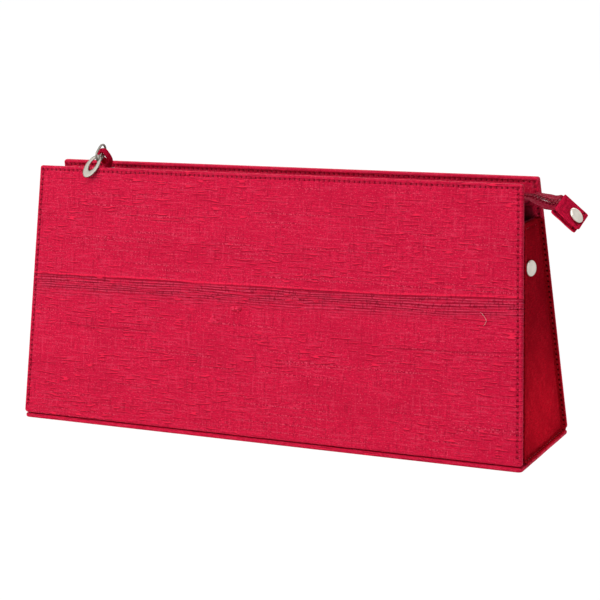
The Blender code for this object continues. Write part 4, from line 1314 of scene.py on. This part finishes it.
class CLUTCH_OT_gussets(bpy.types.Operator):
    """Makes the dished silk gussets with their stitched flanges and hems"""

    bl_idname = "clutch.gussets"
    bl_label = "Gussets"

    def execute(self, context):
        silk = context.scene.clutch_silk
        surface = smooth_silk("gusset_silk", silk.shade_colour, silk.stitch_pitch)
        thread = twisted_thread("gusset_thread", silk.shade_colour)
        for name, side in (("right", 1), ("left", -1)):
            sheet = gusset_sheet(side)
            area = sum(face.calc_area() for face in sheet.faces)
            made = new_object("gusset_silk_" + name, sheet, surface)
            thick = made.modifiers.new("thickness", "SOLIDIFY")
            thick.thickness = GUSSET_SHEET
            thick.offset = 1
            fine = made.modifiers.new("soft", "SUBSURF")
            fine.levels = fine.render_levels = 2
            apply_all(made)
            places, marks = [], []
            for vertex in made.data.vertices:
                co = vertex.co
                web_x = gusset_x(min(abs(co.y), half_inside(co.z)), co.z)
                beyond = max(side * co.x - web_x, 0.0)
                places.append((co.y + math.copysign(beyond, co.y), co.z - (beyond if co.z < 0.006 else 0.0)))
                marks.append(gusset_marks(co, side, silk))
                vertex.co.x += side * gusset_creases(co, side)
            soften(made, 70)
            lay_weave(made, places)
            mark_stitches(made, marks)
            settle(made, "bag", "gusset_silk", "gusset_" + name)
            flange = GUSSET_RECESS + GUSSET_SHEET + FLANGE_PROUD
            flat = (2 * (half_inside(BASE) + flange), GUSSET_TOP - BASE + flange)
            sewn_rows("gusset_stitches_" + name, gusset_rows(side, silk), silk, thread, "bag", sink=0.00008)
        return {"FINISHED"}


LININGS = ("front_lining", "back_lining", "base_lining", "gusset_lining_right", "gusset_lining_left")


class CLUTCH_OT_linings(bpy.types.Operator):
    """Makes the lining cloth inside the bag"""

    bl_idname = "clutch.linings"
    bl_label = "Linings"

    def execute(self, context):
        silk = context.scene.clutch_silk
        surface = lining_cloth("lining_cloth", silk.lining_colour)
        for node in LININGS:
            made = cad_copy(node, node + "_cloth", surface)
            bm = bmesh.new()
            bm.from_mesh(made.data)
            bmesh.ops.connect_verts_concave(bm, faces=bm.faces)
            long_edges = [e for e in bm.edges if e.calc_length() > 0.004]
            for _ in range(4):
                bmesh.ops.subdivide_edges(bm, edges=long_edges, cuts=1, use_grid_fill=True)
                long_edges = [e for e in bm.edges if e.calc_length() > 0.004]
            for vertex in bm.verts:
                wave = noise.noise(vertex.co * 70) * 0.00012
                vertex.co -= Vector((vertex.co.x, vertex.co.y, 0)).normalized() * (abs(wave))
            bm.to_mesh(made.data)
            bm.free()
            soften(made, 60)
            settle(made, "bag", "lining", node)
        return {"FINISHED"}


class CLUTCH_OT_boards(bpy.types.Operator):
    """Gives the boards inside the silk their grey board"""

    bl_idname = "clutch.boards"
    bl_label = "Boards"

    def execute(self, context):
        surface = greyboard("grey_board")
        for node in ("front_board", "back_board", "base_board"):
            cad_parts[node].material_slots[0].material = surface
        return {"FINISHED"}


# Zip

def tail_start():
    return half_width(ZIP_Z)


def tail_frame():
    """Turns the zip's own axes (along, across, out of its face) into the tab's."""
    along = TAB_ALONG.normalized()
    across = (TAB_ACROSS - along * TAB_ACROSS.dot(along)).normalized()
    return Matrix((along, across, along.cross(across))).transposed()


def tail_points():
    """The tail's centre line, from the end of the bag to the tab."""
    start = Vector((tail_start(), 0, ZIP_Z))
    end = start + Vector((TAIL_REACH, TAIL_SIDE, -TAIL_DROP))
    first = start + Vector((TAIL_REACH * 0.4, 0, 0))
    second = end - TAB_ALONG.normalized() * TAIL_REACH * 0.12
    points = []
    for k in range(41):
        t = k / 40
        a, b, c = start.lerp(first, t), first.lerp(second, t), second.lerp(end, t)
        point = a.lerp(b, t).lerp(b.lerp(c, t), t)
        points.append(point - Vector((0, 0, TAIL_SAG * math.sin(math.pi * t))))
    return points


TAIL_LINE = tail_points()
TAIL_LENGTH = sum((b - a).length for a, b in zip(TAIL_LINE, TAIL_LINE[1:]))


def zip_place(s):
    """The point on the zip's centre line at a length s (x inside the bag), and its axes there."""
    run = s - tail_start()
    share = min(max((run + TAIL_LEAD) / (TAIL_LENGTH + TAIL_LEAD), 0.0), 1.0)
    turn = Quaternion().slerp(tail_frame().to_quaternion(), share).to_matrix()
    if run <= 0:
        return Vector((s, 0, ZIP_Z)), turn
    if run >= TAIL_LENGTH:
        return TAIL_LINE[-1] + TAB_ALONG.normalized() * (run - TAIL_LENGTH), tail_frame()
    for a, b in zip(TAIL_LINE, TAIL_LINE[1:]):
        step = (b - a).length
        if run <= step:
            return a.lerp(b, run / step), turn
        run -= step
    return TAIL_LINE[-1], turn


def on_zip(s, across, out):
    point, axes = zip_place(s)
    return point + axes @ Vector((0, across, out))


def slider_left():
    return SLIDER_X - SLIDER_LENGTH / 2


def tape_section(s):
    """Half of the tape's section as (across, out): inner edge, fold and the flap on the panel."""
    near = lerp(TAPE_INNER, FIT, smooth((slider_left() - 2 * STOP_LENGTH - s) / (4 * STOP_LENGTH)))
    seat = FIT + TAPE / 2
    top = half_inside(ZIP_Z) - seat - TAPE
    body = [(lerp(near, top, k / 5), 0.0) for k in range(6)]
    body += [(top + TAPE * 0.7, -TAPE * 0.3)]
    for k in range(4):
        z = lerp(ZIP_Z - TAPE, ZIP_Z - TAPE_FLAP, k / 3)
        body.append((half_inside(z) - seat, z - ZIP_Z))
    in_tab = TAB_WIDTH / 2 - TAB_LAYER - 2 * FIT
    fade = TAPE_IN_TAB - 2 * TAB_SKEW * in_tab
    half = lerp(TAIL_HALF, in_tab, smooth((s - tail_start() - TAIL_LENGTH + TAPE_IN_TAB) / fade))
    tail = [(lerp(near, half, k / 10), 0.0) for k in range(11)]
    share = smooth((s - tail_start() + 2 * TAPE_END) / (2 * TAPE_END))
    return [(lerp(a[0], b[0], share), lerp(a[1], b[1], share)) for a, b in zip(body, tail)]


def tape_stations():
    start = tail_start()
    first = TAPE_END - start
    count = round((start - first) / 0.003)
    places = [lerp(first, start, k / count) for k in range(count)]
    run = TAIL_LENGTH + TAPE_IN_TAB
    return places + [start + run * k / 24 for k in range(25)]


def strip_outline(line, thickness):
    """Turns an open line into a closed strip outline of even thickness."""
    points = [Vector(p) for p in line]
    above, below = [], []
    for k, point in enumerate(points):
        before = points[max(k - 1, 0)]
        after = points[min(k + 1, len(points) - 1)]
        along = (after - before).normalized()
        out = Vector((-along.y, along.x)) * thickness / 2
        above.append(point + out)
        below.append(point - out)
    return above, below[::-1]


class CLUTCH_OT_tapes(bpy.types.Operator):
    """Makes the two woven tapes of the zip and their tail"""

    bl_idname = "clutch.tapes"
    bl_label = "Zip Tapes"

    def execute(self, context):
        surface = woven_tape("zip_tape_weave", context.scene.clutch_zip.tape_colour)
        for name, side in front_and_back():
            rings, places = [], []
            for s in tape_stations():
                above, below = strip_outline(tape_section(s), TAPE)
                soft = 0.00015 * noise.noise(Vector((s * 120, side * 4.0, 1.0))) * smooth((s + 0.13) / 0.02)
                rings.append([on_zip(s, side * p.x, p.y + soft) for p in above + below])
                width, last = 0.0, above[0]
                for p in above + below:
                    width += (p - last).length
                    last = p
                    places.append((s, width))
            bm = skin(rings)
            turn_out(bm)
            made = new_object("woven_tape_" + name, bm, surface, 60)
            lay_weave(made, places)
            settle(made, "bag", "zip_tape", "zip_tape_" + name)
        return {"FINISHED"}


def coil_loop(s, side, wire):
    """One turn of the coil: a flat loop of filament that hooks over the zip's centre line."""
    head, tail = -TOOTH_OVERLAP + wire / 2, CHAIN_HALF - wire / 2
    tall = COIL_TALL
    middle = lerp(head, tail, 0.5)
    path = [
        (tail, -tall), (middle, -tall), (head + 0.0006, -tall * 0.95), (head, -tall * 0.6),
        (head - 0.00012, 0.0), (head, tall * 0.6), (head + 0.0006, tall * 0.95), (middle, tall),
        (tail, tall), (tail + 0.0001, 0.0),
    ]
    rings = []
    sides = 6
    count = len(path)
    for k, (across, out) in enumerate(path):
        before, after = Vector(path[k - 1]), Vector(path[(k + 1) % count])
        along = (after - before).normalized()
        normal = Vector((-along.y, along.x))
        swell = COIL_HEAD_SWELL if 2 <= k <= 6 else 1.0
        ring = []
        for n in range(sides):
            angle = 2 * math.pi * n / sides
            shift = normal * (wire / 2 * math.cos(angle))
            run = s + wire / 2 * swell * math.sin(angle)
            ring.append(on_zip(run, side * (across + shift.x), out + shift.y))
        rings.append(ring)
    return rings


class CLUTCH_OT_coil(bpy.types.Operator):
    """Makes the two meshing rows of coil and the thread that holds them on the tapes"""

    bl_idname = "clutch.coil"
    bl_label = "Zip Coil"

    def execute(self, context):
        parts = context.scene.clutch_zip
        silk = context.scene.clutch_silk
        surface = coil_plastic("coil_filament", parts.coil_colour)
        thread = twisted_thread("coil_thread", scaled_colour(silk.panel_colour, 0.6))
        start = slider_left() + WEDGE_LENGTH + 2 * FIT + parts.wire
        finish = tail_start() + TAIL_LENGTH + parts.pitch
        count = int((finish - start) / parts.pitch - 0.5)
        for name, side in front_and_back():
            shift = 0.0 if side < 0 else 0.5
            bm = bmesh.new()
            row = []
            for k in range(count):
                s = start + (k + shift) * parts.pitch
                rings = [[bm.verts.new(p) for p in ring] for ring in coil_loop(s, side, parts.wire)]
                for a, b in zip(rings, rings[1:] + rings[:1]):
                    for i in range(len(a)):
                        j = (i + 1) % len(a)
                        bm.faces.new((a[i], a[j], b[j], b[i]))
                _, axes = zip_place(s)
                seam = on_zip(s - parts.pitch / 2, side * COIL_SEAM, COIL_SEAM_HEIGHT)
                row.append((seam, axes.col[2].copy()))
            bmesh.ops.recalc_face_normals(bm, faces=bm.faces)
            made = new_object("coil_row_" + name, bm, surface, 80)
            settle(made, "bag", "zip_teeth", "zip_teeth_" + name)
            sewn_rows("coil_thread_" + name, [row], silk, thread, "bag")
        return {"FINISHED"}


class CLUTCH_OT_stops(bpy.types.Operator):
    """Makes the two bent metal stops at the closed end of the zip"""

    bl_idname = "clutch.stops"
    bl_label = "Zip Stops"

    def execute(self, context):
        surface = plated_metal("stop_metal", context.scene.clutch_metal)
        for name, side in front_and_back():
            low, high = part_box("zip_stop_" + name)
            deselect()
            bpy.ops.mesh.primitive_cube_add(size=1, location=(low + high) / 2)
            made = bpy.context.object
            made.name = made.data.name = "stop_clip_" + name
            made.scale = high - low
            bpy.ops.object.transform_apply(location=True, rotation=True, scale=True)
            edge = made.modifiers.new("edge", "BEVEL")
            edge.width = 0.0004
            edge.segments = 3
            apply_all(made)
            made.data.materials.append(surface)
            soften(made, 60)
            settle(made, "bag", "silver", "zip_stop_" + name)
        return {"FINISHED"}


class CLUTCH_OT_slider(bpy.types.Operator):
    """Gives the zip's slider its painted finish and rounded edges"""

    bl_idname = "clutch.slider"
    bl_label = "Zip Slider"

    def execute(self, context):
        surface = painted_metal("slider_paint", context.scene.clutch_zip.coil_colour)
        made = cad_copy("zip_slider", "painted_slider", surface)
        edge = made.modifiers.new("edge", "BEVEL")
        edge.width = 0.00018
        edge.segments = 2
        edge.limit_method = "ANGLE"
        apply_all(made)
        soften(made, 50)
        settle(made, "slider", "slider_enamel", "zip_slider")
        return {"FINISHED"}


# Pull

def narrow_hole(ring):
    """Widens the ring's flat band inwards, most at its far end."""
    out = Vector((-math.sin(RING_TURN), -math.cos(RING_DROP) * math.cos(RING_TURN),
                  -math.sin(RING_DROP) * math.cos(RING_TURN)))
    fall = Vector((0, -math.cos(RING_DROP), -math.sin(RING_DROP)))
    side = Vector((math.cos(RING_TURN), 0, 0)) + fall * math.sin(RING_TURN)
    spread = [v.co.dot(out) for v in ring.data.vertices]
    middle = (max(spread) + min(spread)) / 2
    rim_long = (max(spread) - min(spread)) / 2
    spread = [v.co.dot(side) for v in ring.data.vertices]
    across = (max(spread) + min(spread)) / 2
    rim_wide = (max(spread) - min(spread)) / 2
    shift = (RING_NEAR - RING_FAR) / 2
    hole_long = (2 * rim_long - RING_NEAR - RING_FAR) / 2
    hole_wide = rim_wide - RING_SIDE
    for vertex in ring.data.vertices:
        a, b = vertex.co.dot(out) - middle, vertex.co.dot(side) - across
        best = None
        for k in range(HOLE_SIDES):
            angle = 2 * math.pi * k / HOLE_SIDES
            c, s = math.cos(angle), math.sin(angle)
            rim = Vector((rim_long * c, rim_wide * s))
            hole = Vector((shift + hole_long * c, hole_wide * s))
            run = rim - hole
            share = (Vector((a, b)) - hole).dot(run) / run.length_squared
            miss = (hole + run * share - Vector((a, b))).length
            if best is None or miss < best[0]:
                best = (miss, share, c, s)
        _, share, c, s = best
        inward = (1 - share) * Vector((-0.0007 * c - 0.0003, -0.0009 * s))
        vertex.co += out * inward.x + side * inward.y


class CLUTCH_OT_pull(bpy.types.Operator):
    """Makes the silk loop, the wire link and the flat ring of the pull"""

    bl_idname = "clutch.pull"
    bl_label = "Pull"

    def execute(self, context):
        silk = context.scene.clutch_silk
        # The pull's metal is a darker copy of the snaps' plate: painted shade
        metal = plated_metal("shaded_pull_metal", context.scene.clutch_metal, PULL_SHADE, PULL_DULLING)
        cloth = smooth_silk("loop_silk", silk.panel_colour, silk.stitch_pitch)
        loop = cad_copy("pull_loop", "silk_loop", cloth)
        fine = loop.modifiers.new("soft", "SUBSURF")
        fine.levels = fine.render_levels = 2
        apply_all(loop)
        places = []
        for vertex in loop.data.vertices:
            co = vertex.co
            places.append((co.z + co.x, co.y + co.x * 0.3))
            swell = noise.noise(co * 900) * 0.00008
            vertex.co += vertex.normal * swell
        soften(loop, 80)
        lay_weave(loop, places)
        mark_stitches(loop, [UNSEWN] * len(places))
        settle(loop, "slider", "trim_silk", "pull_loop")
        for node, name, body in (("pull_link", "wire_link", "link"), ("pull_ring", "oval_ring", "ring")):
            made = cad_copy(node, name, metal)
            if body == "ring":
                narrow_hole(made)
            fine = made.modifiers.new("soft", "SUBSURF")
            fine.levels = fine.render_levels = 2
            apply_all(made)
            soften(made, 80)
            settle(made, body, "silver", node)
        return {"FINISHED"}


# Tab

def tab_place():
    return Matrix.Translation(TAIL_LINE[-1]) @ tail_frame().to_4x4()


def tab_lift(s, across, top):
    """Softness of the folded tab: puffed edges, a dimple at the snap and small waves."""
    near_end = min(s, TAB_LENGTH - s)
    near_side = TAB_WIDTH / 2 - abs(across)
    edge = min(near_end, near_side)
    puff = 0.00028 * bell(edge - 0.0013, 0.0010) - 0.00030 * bell(edge - 0.0029, 0.0006)
    snap = math.hypot(s + TAB_SKEW * across - TAB_SNAP_ALONG, across - TAB_SNAP_ACROSS)
    dimple = -0.00030 * smooth((0.0065 - snap) / 0.003)
    wave = 0.00014 * noise.noise(Vector((s * 230, across * 230, 3.0 if top else 6.0)))
    return (puff + dimple) * smooth(edge / 0.001) + wave


class CLUTCH_OT_tab(bpy.types.Operator):
    """Makes the folded and stitched silk tab at the end of the zip's tail"""

    bl_idname = "clutch.tab"
    bl_label = "Silk Tab"

    def execute(self, context):
        silk = context.scene.clutch_silk
        surface = smooth_silk("tab_silk", scaled_colour(silk.panel_colour, 1.2), silk.stitch_pitch)
        place = tab_place()
        above = TAPE / 2 + FIT
        half = TAB_WIDTH / 2
        radius = above + TAB_LAYER / 2
        steps, arc = 28, 10
        line = []
        for k in range(steps):
            line.append((lerp(-half, half - radius, k / steps), radius, "top"))
        for k in range(arc + 1):
            angle = math.pi * k / arc
            line.append((half - radius + radius * math.sin(angle), radius * math.cos(angle), "bend"))
        for k in range(1, steps + 1):
            line.append((lerp(half - radius, -half, k / steps), -radius, "under"))
        lengths = [TAB_LENGTH * k / steps for k in range(steps + 1)]
        bm = bmesh.new()
        rows, places = [], []
        corner = TAB_CORNER
        for s in lengths:
            row = []
            width = 0.0
            last = None
            for across, out, part in line:
                edge_in = 0.0
                side_gap = half - abs(across)
                end_gap = min(s, TAB_LENGTH - s)
                if side_gap < corner and end_gap < corner:
                    far = math.hypot(corner - side_gap, corner - end_gap)
                    edge_in = max(far - corner, 0.0) * 0.7
                a = across - math.copysign(edge_in, across)
                t = s + (edge_in if s < TAB_LENGTH / 2 else -edge_in)
                sign = {"top": 1, "bend": 0, "under": -1}[part]
                n = out + sign * tab_lift(s, across, part == "top")
                if part == "under":
                    open_side = smooth((0.002 - across) / half)
                    n -= TAB_GAPE * open_side
                    a -= TAB_GAPE * open_side
                if last is not None:
                    width += (Vector((across, out)) - last).length
                last = Vector((across, out))
                places.append((s, width))
                row.append((t + TAB_SKEW * a, a, n))
            rows.append(row)
        weld_grid(bm, rows)
        bm.transform(place)
        bmesh.ops.recalc_face_normals(bm, faces=bm.faces)
        made = new_object("folded_tab", bm, surface)
        lay_weave(made, places)
        marks = []
        for index, (s, _) in enumerate(places):
            across = line[index % len(line)][0]
            marks.append((across / silk.stitch_pitch, TAB_LENGTH - TAB_STITCH - s))
        mark_stitches(made, marks)
        thick = made.modifiers.new("thickness", "SOLIDIFY")
        thick.thickness = TAB_LAYER * 0.94
        thick.offset = 0
        soft = made.modifiers.new("edge", "BEVEL")
        soft.width = 0.00028
        soft.segments = 3
        soft.limit_method = "ANGLE"
        soft.angle_limit = math.radians(60)
        apply_all(made)
        soften(made, 70)
        settle(made, "bag", "trim_silk", "zip_end_tab")
        thread = twisted_thread("tab_thread", silk.shade_colour)
        normal = place.to_3x3() @ Vector((0, 0, 1))
        top = above + TAB_LAYER
        reach = math.floor((half - 0.0015) / silk.stitch_pitch)
        row = []
        for k in range(-reach, reach + 1):
            across = k * silk.stitch_pitch
            s = TAB_LENGTH - TAB_STITCH
            out = top + tab_lift(s, across, True)
            row.append((place @ Vector((s + TAB_SKEW * across, across, out)), normal))
        sewn_rows("tab_stitches", [row], silk, thread, "bag", sink=0.00008)
        return {"FINISHED"}


# Snaps

def turned_piece(name, profile, place, surface, closed=False, segments=48):
    """Spins a profile of (radius, height) about the Z axis of a frame."""
    rings = []
    for radius, height in profile:
        angles = [2 * math.pi * k / segments for k in range(segments)]
        rings.append([place @ Vector((radius * math.cos(a), radius * math.sin(a), height)) for a in angles])
    bm = skin(rings, closed=closed)
    turn_out(bm)
    return new_object(name, bm, surface, 40)


def cap_profile(post):
    """A domed cap with a turned rim and the post that goes through the cloth."""
    profile = [(POST_RADIUS * 0.6, -post), (POST_RADIUS, -post + 0.0003), (POST_RADIUS, 0.0)]
    profile += [(SNAP_RADIUS - 0.0002, 0.0), (SNAP_RADIUS, 0.0001), (SNAP_RADIUS, SNAP_RIM)]
    steps = 14
    for k in range(1, steps):
        angle = math.pi / 2 * k / steps
        radius = SNAP_RADIUS * math.cos(angle) ** 0.9
        profile.append((radius, SNAP_RIM + (SNAP_DOME - SNAP_RIM) * math.sin(angle)))
    profile.append((SNAP_RADIUS * 0.02, SNAP_DOME))
    return profile


def socket_profile(height):
    """A ring that grips the post, with a rolled rim and a wider mouth."""
    bore = POST_RADIUS + FIT
    mouth = SNAP_RADIUS * 0.55
    roof = height * 0.4
    edge = SNAP_RIM
    return [
        (bore, 0.0), (SNAP_RADIUS - edge, 0.0), (SNAP_RADIUS - edge * 0.3, -edge * 0.3), (SNAP_RADIUS, -edge),
        (SNAP_RADIUS, -height + edge), (SNAP_RADIUS - edge * 0.3, -height + edge * 0.3),
        (SNAP_RADIUS - edge, -height), (mouth + edge * 0.8, -height),
        (mouth + edge * 0.3, -height + edge * 0.25), (mouth, -height + edge * 0.7),
        (mouth, -roof), (bore, -roof),
    ]


class CLUTCH_OT_snaps(bpy.types.Operator):
    """Makes the snap caps and sockets of the tab and the right gusset"""

    bl_idname = "clutch.snaps"
    bl_label = "Snaps"

    def execute(self, context):
        surface = plated_metal("snap_metal", context.scene.clutch_metal)
        above = TAPE / 2 + FIT
        layers = 2 * above + 2 * TAB_LAYER
        spot = tab_place() @ Matrix.Translation((TAB_SNAP_ALONG, TAB_SNAP_ACROSS, above + TAB_LAYER))
        raised = Matrix.Translation((0, 0, FIT))
        post = layers + 2 * FIT + SOCKET_HEIGHT * 0.6
        cap = turned_piece("tab_snap_dome", cap_profile(post), spot @ raised, surface)
        settle(cap, "bag", "silver", "tab_snap_cap")
        under = spot @ Matrix.Translation((0, 0, -layers - FIT))
        ring = turned_piece("tab_snap_ring", socket_profile(SOCKET_HEIGHT), under, surface, closed=True)
        settle(ring, "bag", "silver", "tab_snap_socket")

        step = 0.002
        rise = gusset_x(0, GUSSET_SNAP_Z + step) - gusset_x(0, GUSSET_SNAP_Z - step)
        tilt = math.atan2(rise, 2 * step)
        face = gusset_x(0, GUSSET_SNAP_Z)
        place = Matrix.Translation((face, 0, GUSSET_SNAP_Z)) @ Matrix.Rotation(-math.atan(SNAP_LEAN), 4, "Z")
        place = place @ Matrix.Rotation(math.pi / 2 + tilt, 4, "Y")
        layers = GUSSET_SHEET + 0.0004 + 2 * FIT
        back = SOCKET_HEIGHT / 2
        cap = turned_piece("gusset_snap_dome", cap_profile(layers + FIT + back / 2), place @ raised, surface)
        settle(cap, "bag", "silver", "gusset_snap_cap")
        under = place @ Matrix.Translation((0, 0, -layers))
        ring = turned_piece("gusset_snap_ring", socket_profile(back), under, surface, closed=True)
        settle(ring, "bag", "silver", "gusset_snap_back")
        return {"FINISHED"}


# Stage

class CLUTCH_OT_stage(bpy.types.Operator):
    """Sets the floor, the soft lights, the white room and the camera"""

    bl_idname = "clutch.stage"
    bl_label = "Stage"

    def execute(self, context):
        studio = context.scene.clutch_studio
        deselect()
        bpy.ops.mesh.primitive_plane_add(size=8, location=(0, 0, 0))
        floor = bpy.context.object
        floor.name = "studio_floor"
        floor.data.materials.append(self.floor_surface(studio))
        self.room(context, studio)
        middle = Vector((0, 0, HEIGHT / 2))
        self.lamp("key_light", (-0.75, -1.25, 1.15), middle, 1.5, studio.key_power)
        self.lamp("top_light", (0.25, -0.3, 1.4), middle, 1.2, studio.top_power)
        self.lamp("fill_light", (1.6, -0.5, 0.6), middle, 1.0, studio.fill_power)
        self.lamp("back_light", (-0.5, 1.3, 0.9), middle, 1.5, studio.back_power)
        foot = Vector((half_width(FOOT), 0.005, 0.014))
        low = self.lamp("low_light", (0.42, -0.03, 0.03), foot, 0.04, studio.low_power)
        low.data.spread = math.radians(20)
        self.camera(context, studio)
        return {"FINISHED"}

    def seen(self, tree):
        """1 where the camera looks straight at a surface, or sees it in metal or glass."""
        path = tree.nodes.new("ShaderNodeLightPath")
        first = tree.nodes.new("ShaderNodeMath")
        first.operation = "ADD"
        second = tree.nodes.new("ShaderNodeMath")
        second.operation = "ADD"
        second.use_clamp = True
        tree.links.new(path.outputs["Is Camera Ray"], first.inputs[0])
        tree.links.new(path.outputs["Is Glossy Ray"], first.inputs[1])
        tree.links.new(first.outputs[0], second.inputs[0])
        tree.links.new(path.outputs["Is Transmission Ray"], second.inputs[1])
        return second.outputs[0]

    def floor_surface(self, studio):
        surface = Surface("studio_floor")
        surface.shader.inputs["Base Color"].default_value = (*studio.floor_colour, 1.0)
        surface.shader.inputs["Roughness"].default_value = 0.9
        glow = surface.node("ShaderNodeEmission")
        mixed = surface.node("ShaderNodeMixShader")
        glow.inputs["Strength"].default_value = WHITE
        share = surface.calc("MULTIPLY", self.seen(surface.tree), FLOOR_GLOW)
        surface.put(mixed.inputs[0], share)
        surface.tree.links.new(surface.shader.outputs[0], mixed.inputs[1])
        surface.tree.links.new(glow.outputs[0], mixed.inputs[2])
        output = surface.tree.nodes["Material Output"]
        surface.tree.links.new(mixed.outputs[0], output.inputs["Surface"])
        return surface.material

    def room(self, context, studio):
        world = bpy.data.worlds.new("studio_room")
        world.use_nodes = True
        context.scene.world = world
        tree = world.node_tree
        background = tree.nodes["Background"]
        background.inputs["Color"].default_value = (1, 1, 1, 1)
        strength = tree.nodes.new("ShaderNodeMapRange")
        tree.links.new(self.seen(tree), strength.inputs["Value"])
        strength.inputs["To Min"].default_value = studio.room
        strength.inputs["To Max"].default_value = WHITE
        tree.links.new(strength.outputs[0], background.inputs["Strength"])
        context.scene.view_settings.view_transform = "Standard"

    def lamp(self, name, place, aim, size, power):
        deselect()
        bpy.ops.object.light_add(type="AREA", location=place)
        lamp = bpy.context.object
        lamp.name = name
        lamp.data.shape = "DISK"
        lamp.data.size = size
        lamp.data.energy = power
        towards = aim - Vector(place)
        lamp.rotation_euler = towards.to_track_quat("-Z", "Y").to_euler()
        return lamp

    def camera(self, context, studio):
        forward = (AIM - EYE).normalized()
        right = forward.cross(Vector((0, 0, 1))).normalized()
        up = right.cross(forward)
        level = right * math.cos(CAMERA_ROLL) + up * math.sin(CAMERA_ROLL)
        top = up * math.cos(CAMERA_ROLL) - right * math.sin(CAMERA_ROLL)
        deselect()
        bpy.ops.object.camera_add(location=EYE)
        camera = bpy.context.object
        camera.name = "photo_camera"
        place = Matrix((level, top, -forward)).transposed().to_4x4()
        place.translation = EYE
        camera.matrix_world = place
        camera.data.sensor_width = 36
        camera.data.sensor_fit = "HORIZONTAL"
        camera.data.lens = studio.lens
        camera.data.clip_start = 0.01
        context.scene.camera = camera


class CLUTCH_PT_pieces(bpy.types.Panel):
    """Lists the pieces of the clutch bag."""

    bl_idname = "CLUTCH_PT_pieces"
    bl_label = "Clutch Bag"
    bl_space_type = "VIEW_3D"
    bl_region_type = "UI"
    bl_category = "Clutch Bag"

    def draw(self, context):
        column = self.layout.column()
        for operator in OPERATORS:
            column.operator(operator.bl_idname)
        for name in GROUPS:
            group = getattr(context.scene, name)
            for key in group.__annotations__:
                column.prop(group, key)


OPERATORS = (
    CLUTCH_OT_stage,
    CLUTCH_OT_panels,
    CLUTCH_OT_knots,
    CLUTCH_OT_base,
    CLUTCH_OT_gussets,
    CLUTCH_OT_linings,
    CLUTCH_OT_boards,
    CLUTCH_OT_tapes,
    CLUTCH_OT_coil,
    CLUTCH_OT_stops,
    CLUTCH_OT_slider,
    CLUTCH_OT_pull,
    CLUTCH_OT_tab,
    CLUTCH_OT_snaps,
)
GROUPS = {
    "clutch_silk": ClutchSilk,
    "clutch_zip": ClutchZip,
    "clutch_metal": ClutchMetal,
    "clutch_studio": ClutchStudio,
}


def register():
    for group in GROUPS.values():
        bpy.utils.register_class(group)
    for operator in OPERATORS:
        bpy.utils.register_class(operator)
    bpy.utils.register_class(CLUTCH_PT_pieces)
    for name, group in GROUPS.items():
        setattr(bpy.types.Scene, name, PointerProperty(type=group))


def unregister():
    for name in GROUPS:
        delattr(bpy.types.Scene, name)
    bpy.utils.unregister_class(CLUTCH_PT_pieces)
    for operator in reversed(OPERATORS):
        bpy.utils.unregister_class(operator)
    for group in GROUPS.values():
        bpy.utils.unregister_class(group)


def main():
    register()
    for operator in OPERATORS:
        group, name = operator.bl_idname.split(".")
        getattr(getattr(bpy.ops, group), name)()


if __name__ == "__main__":
    main()
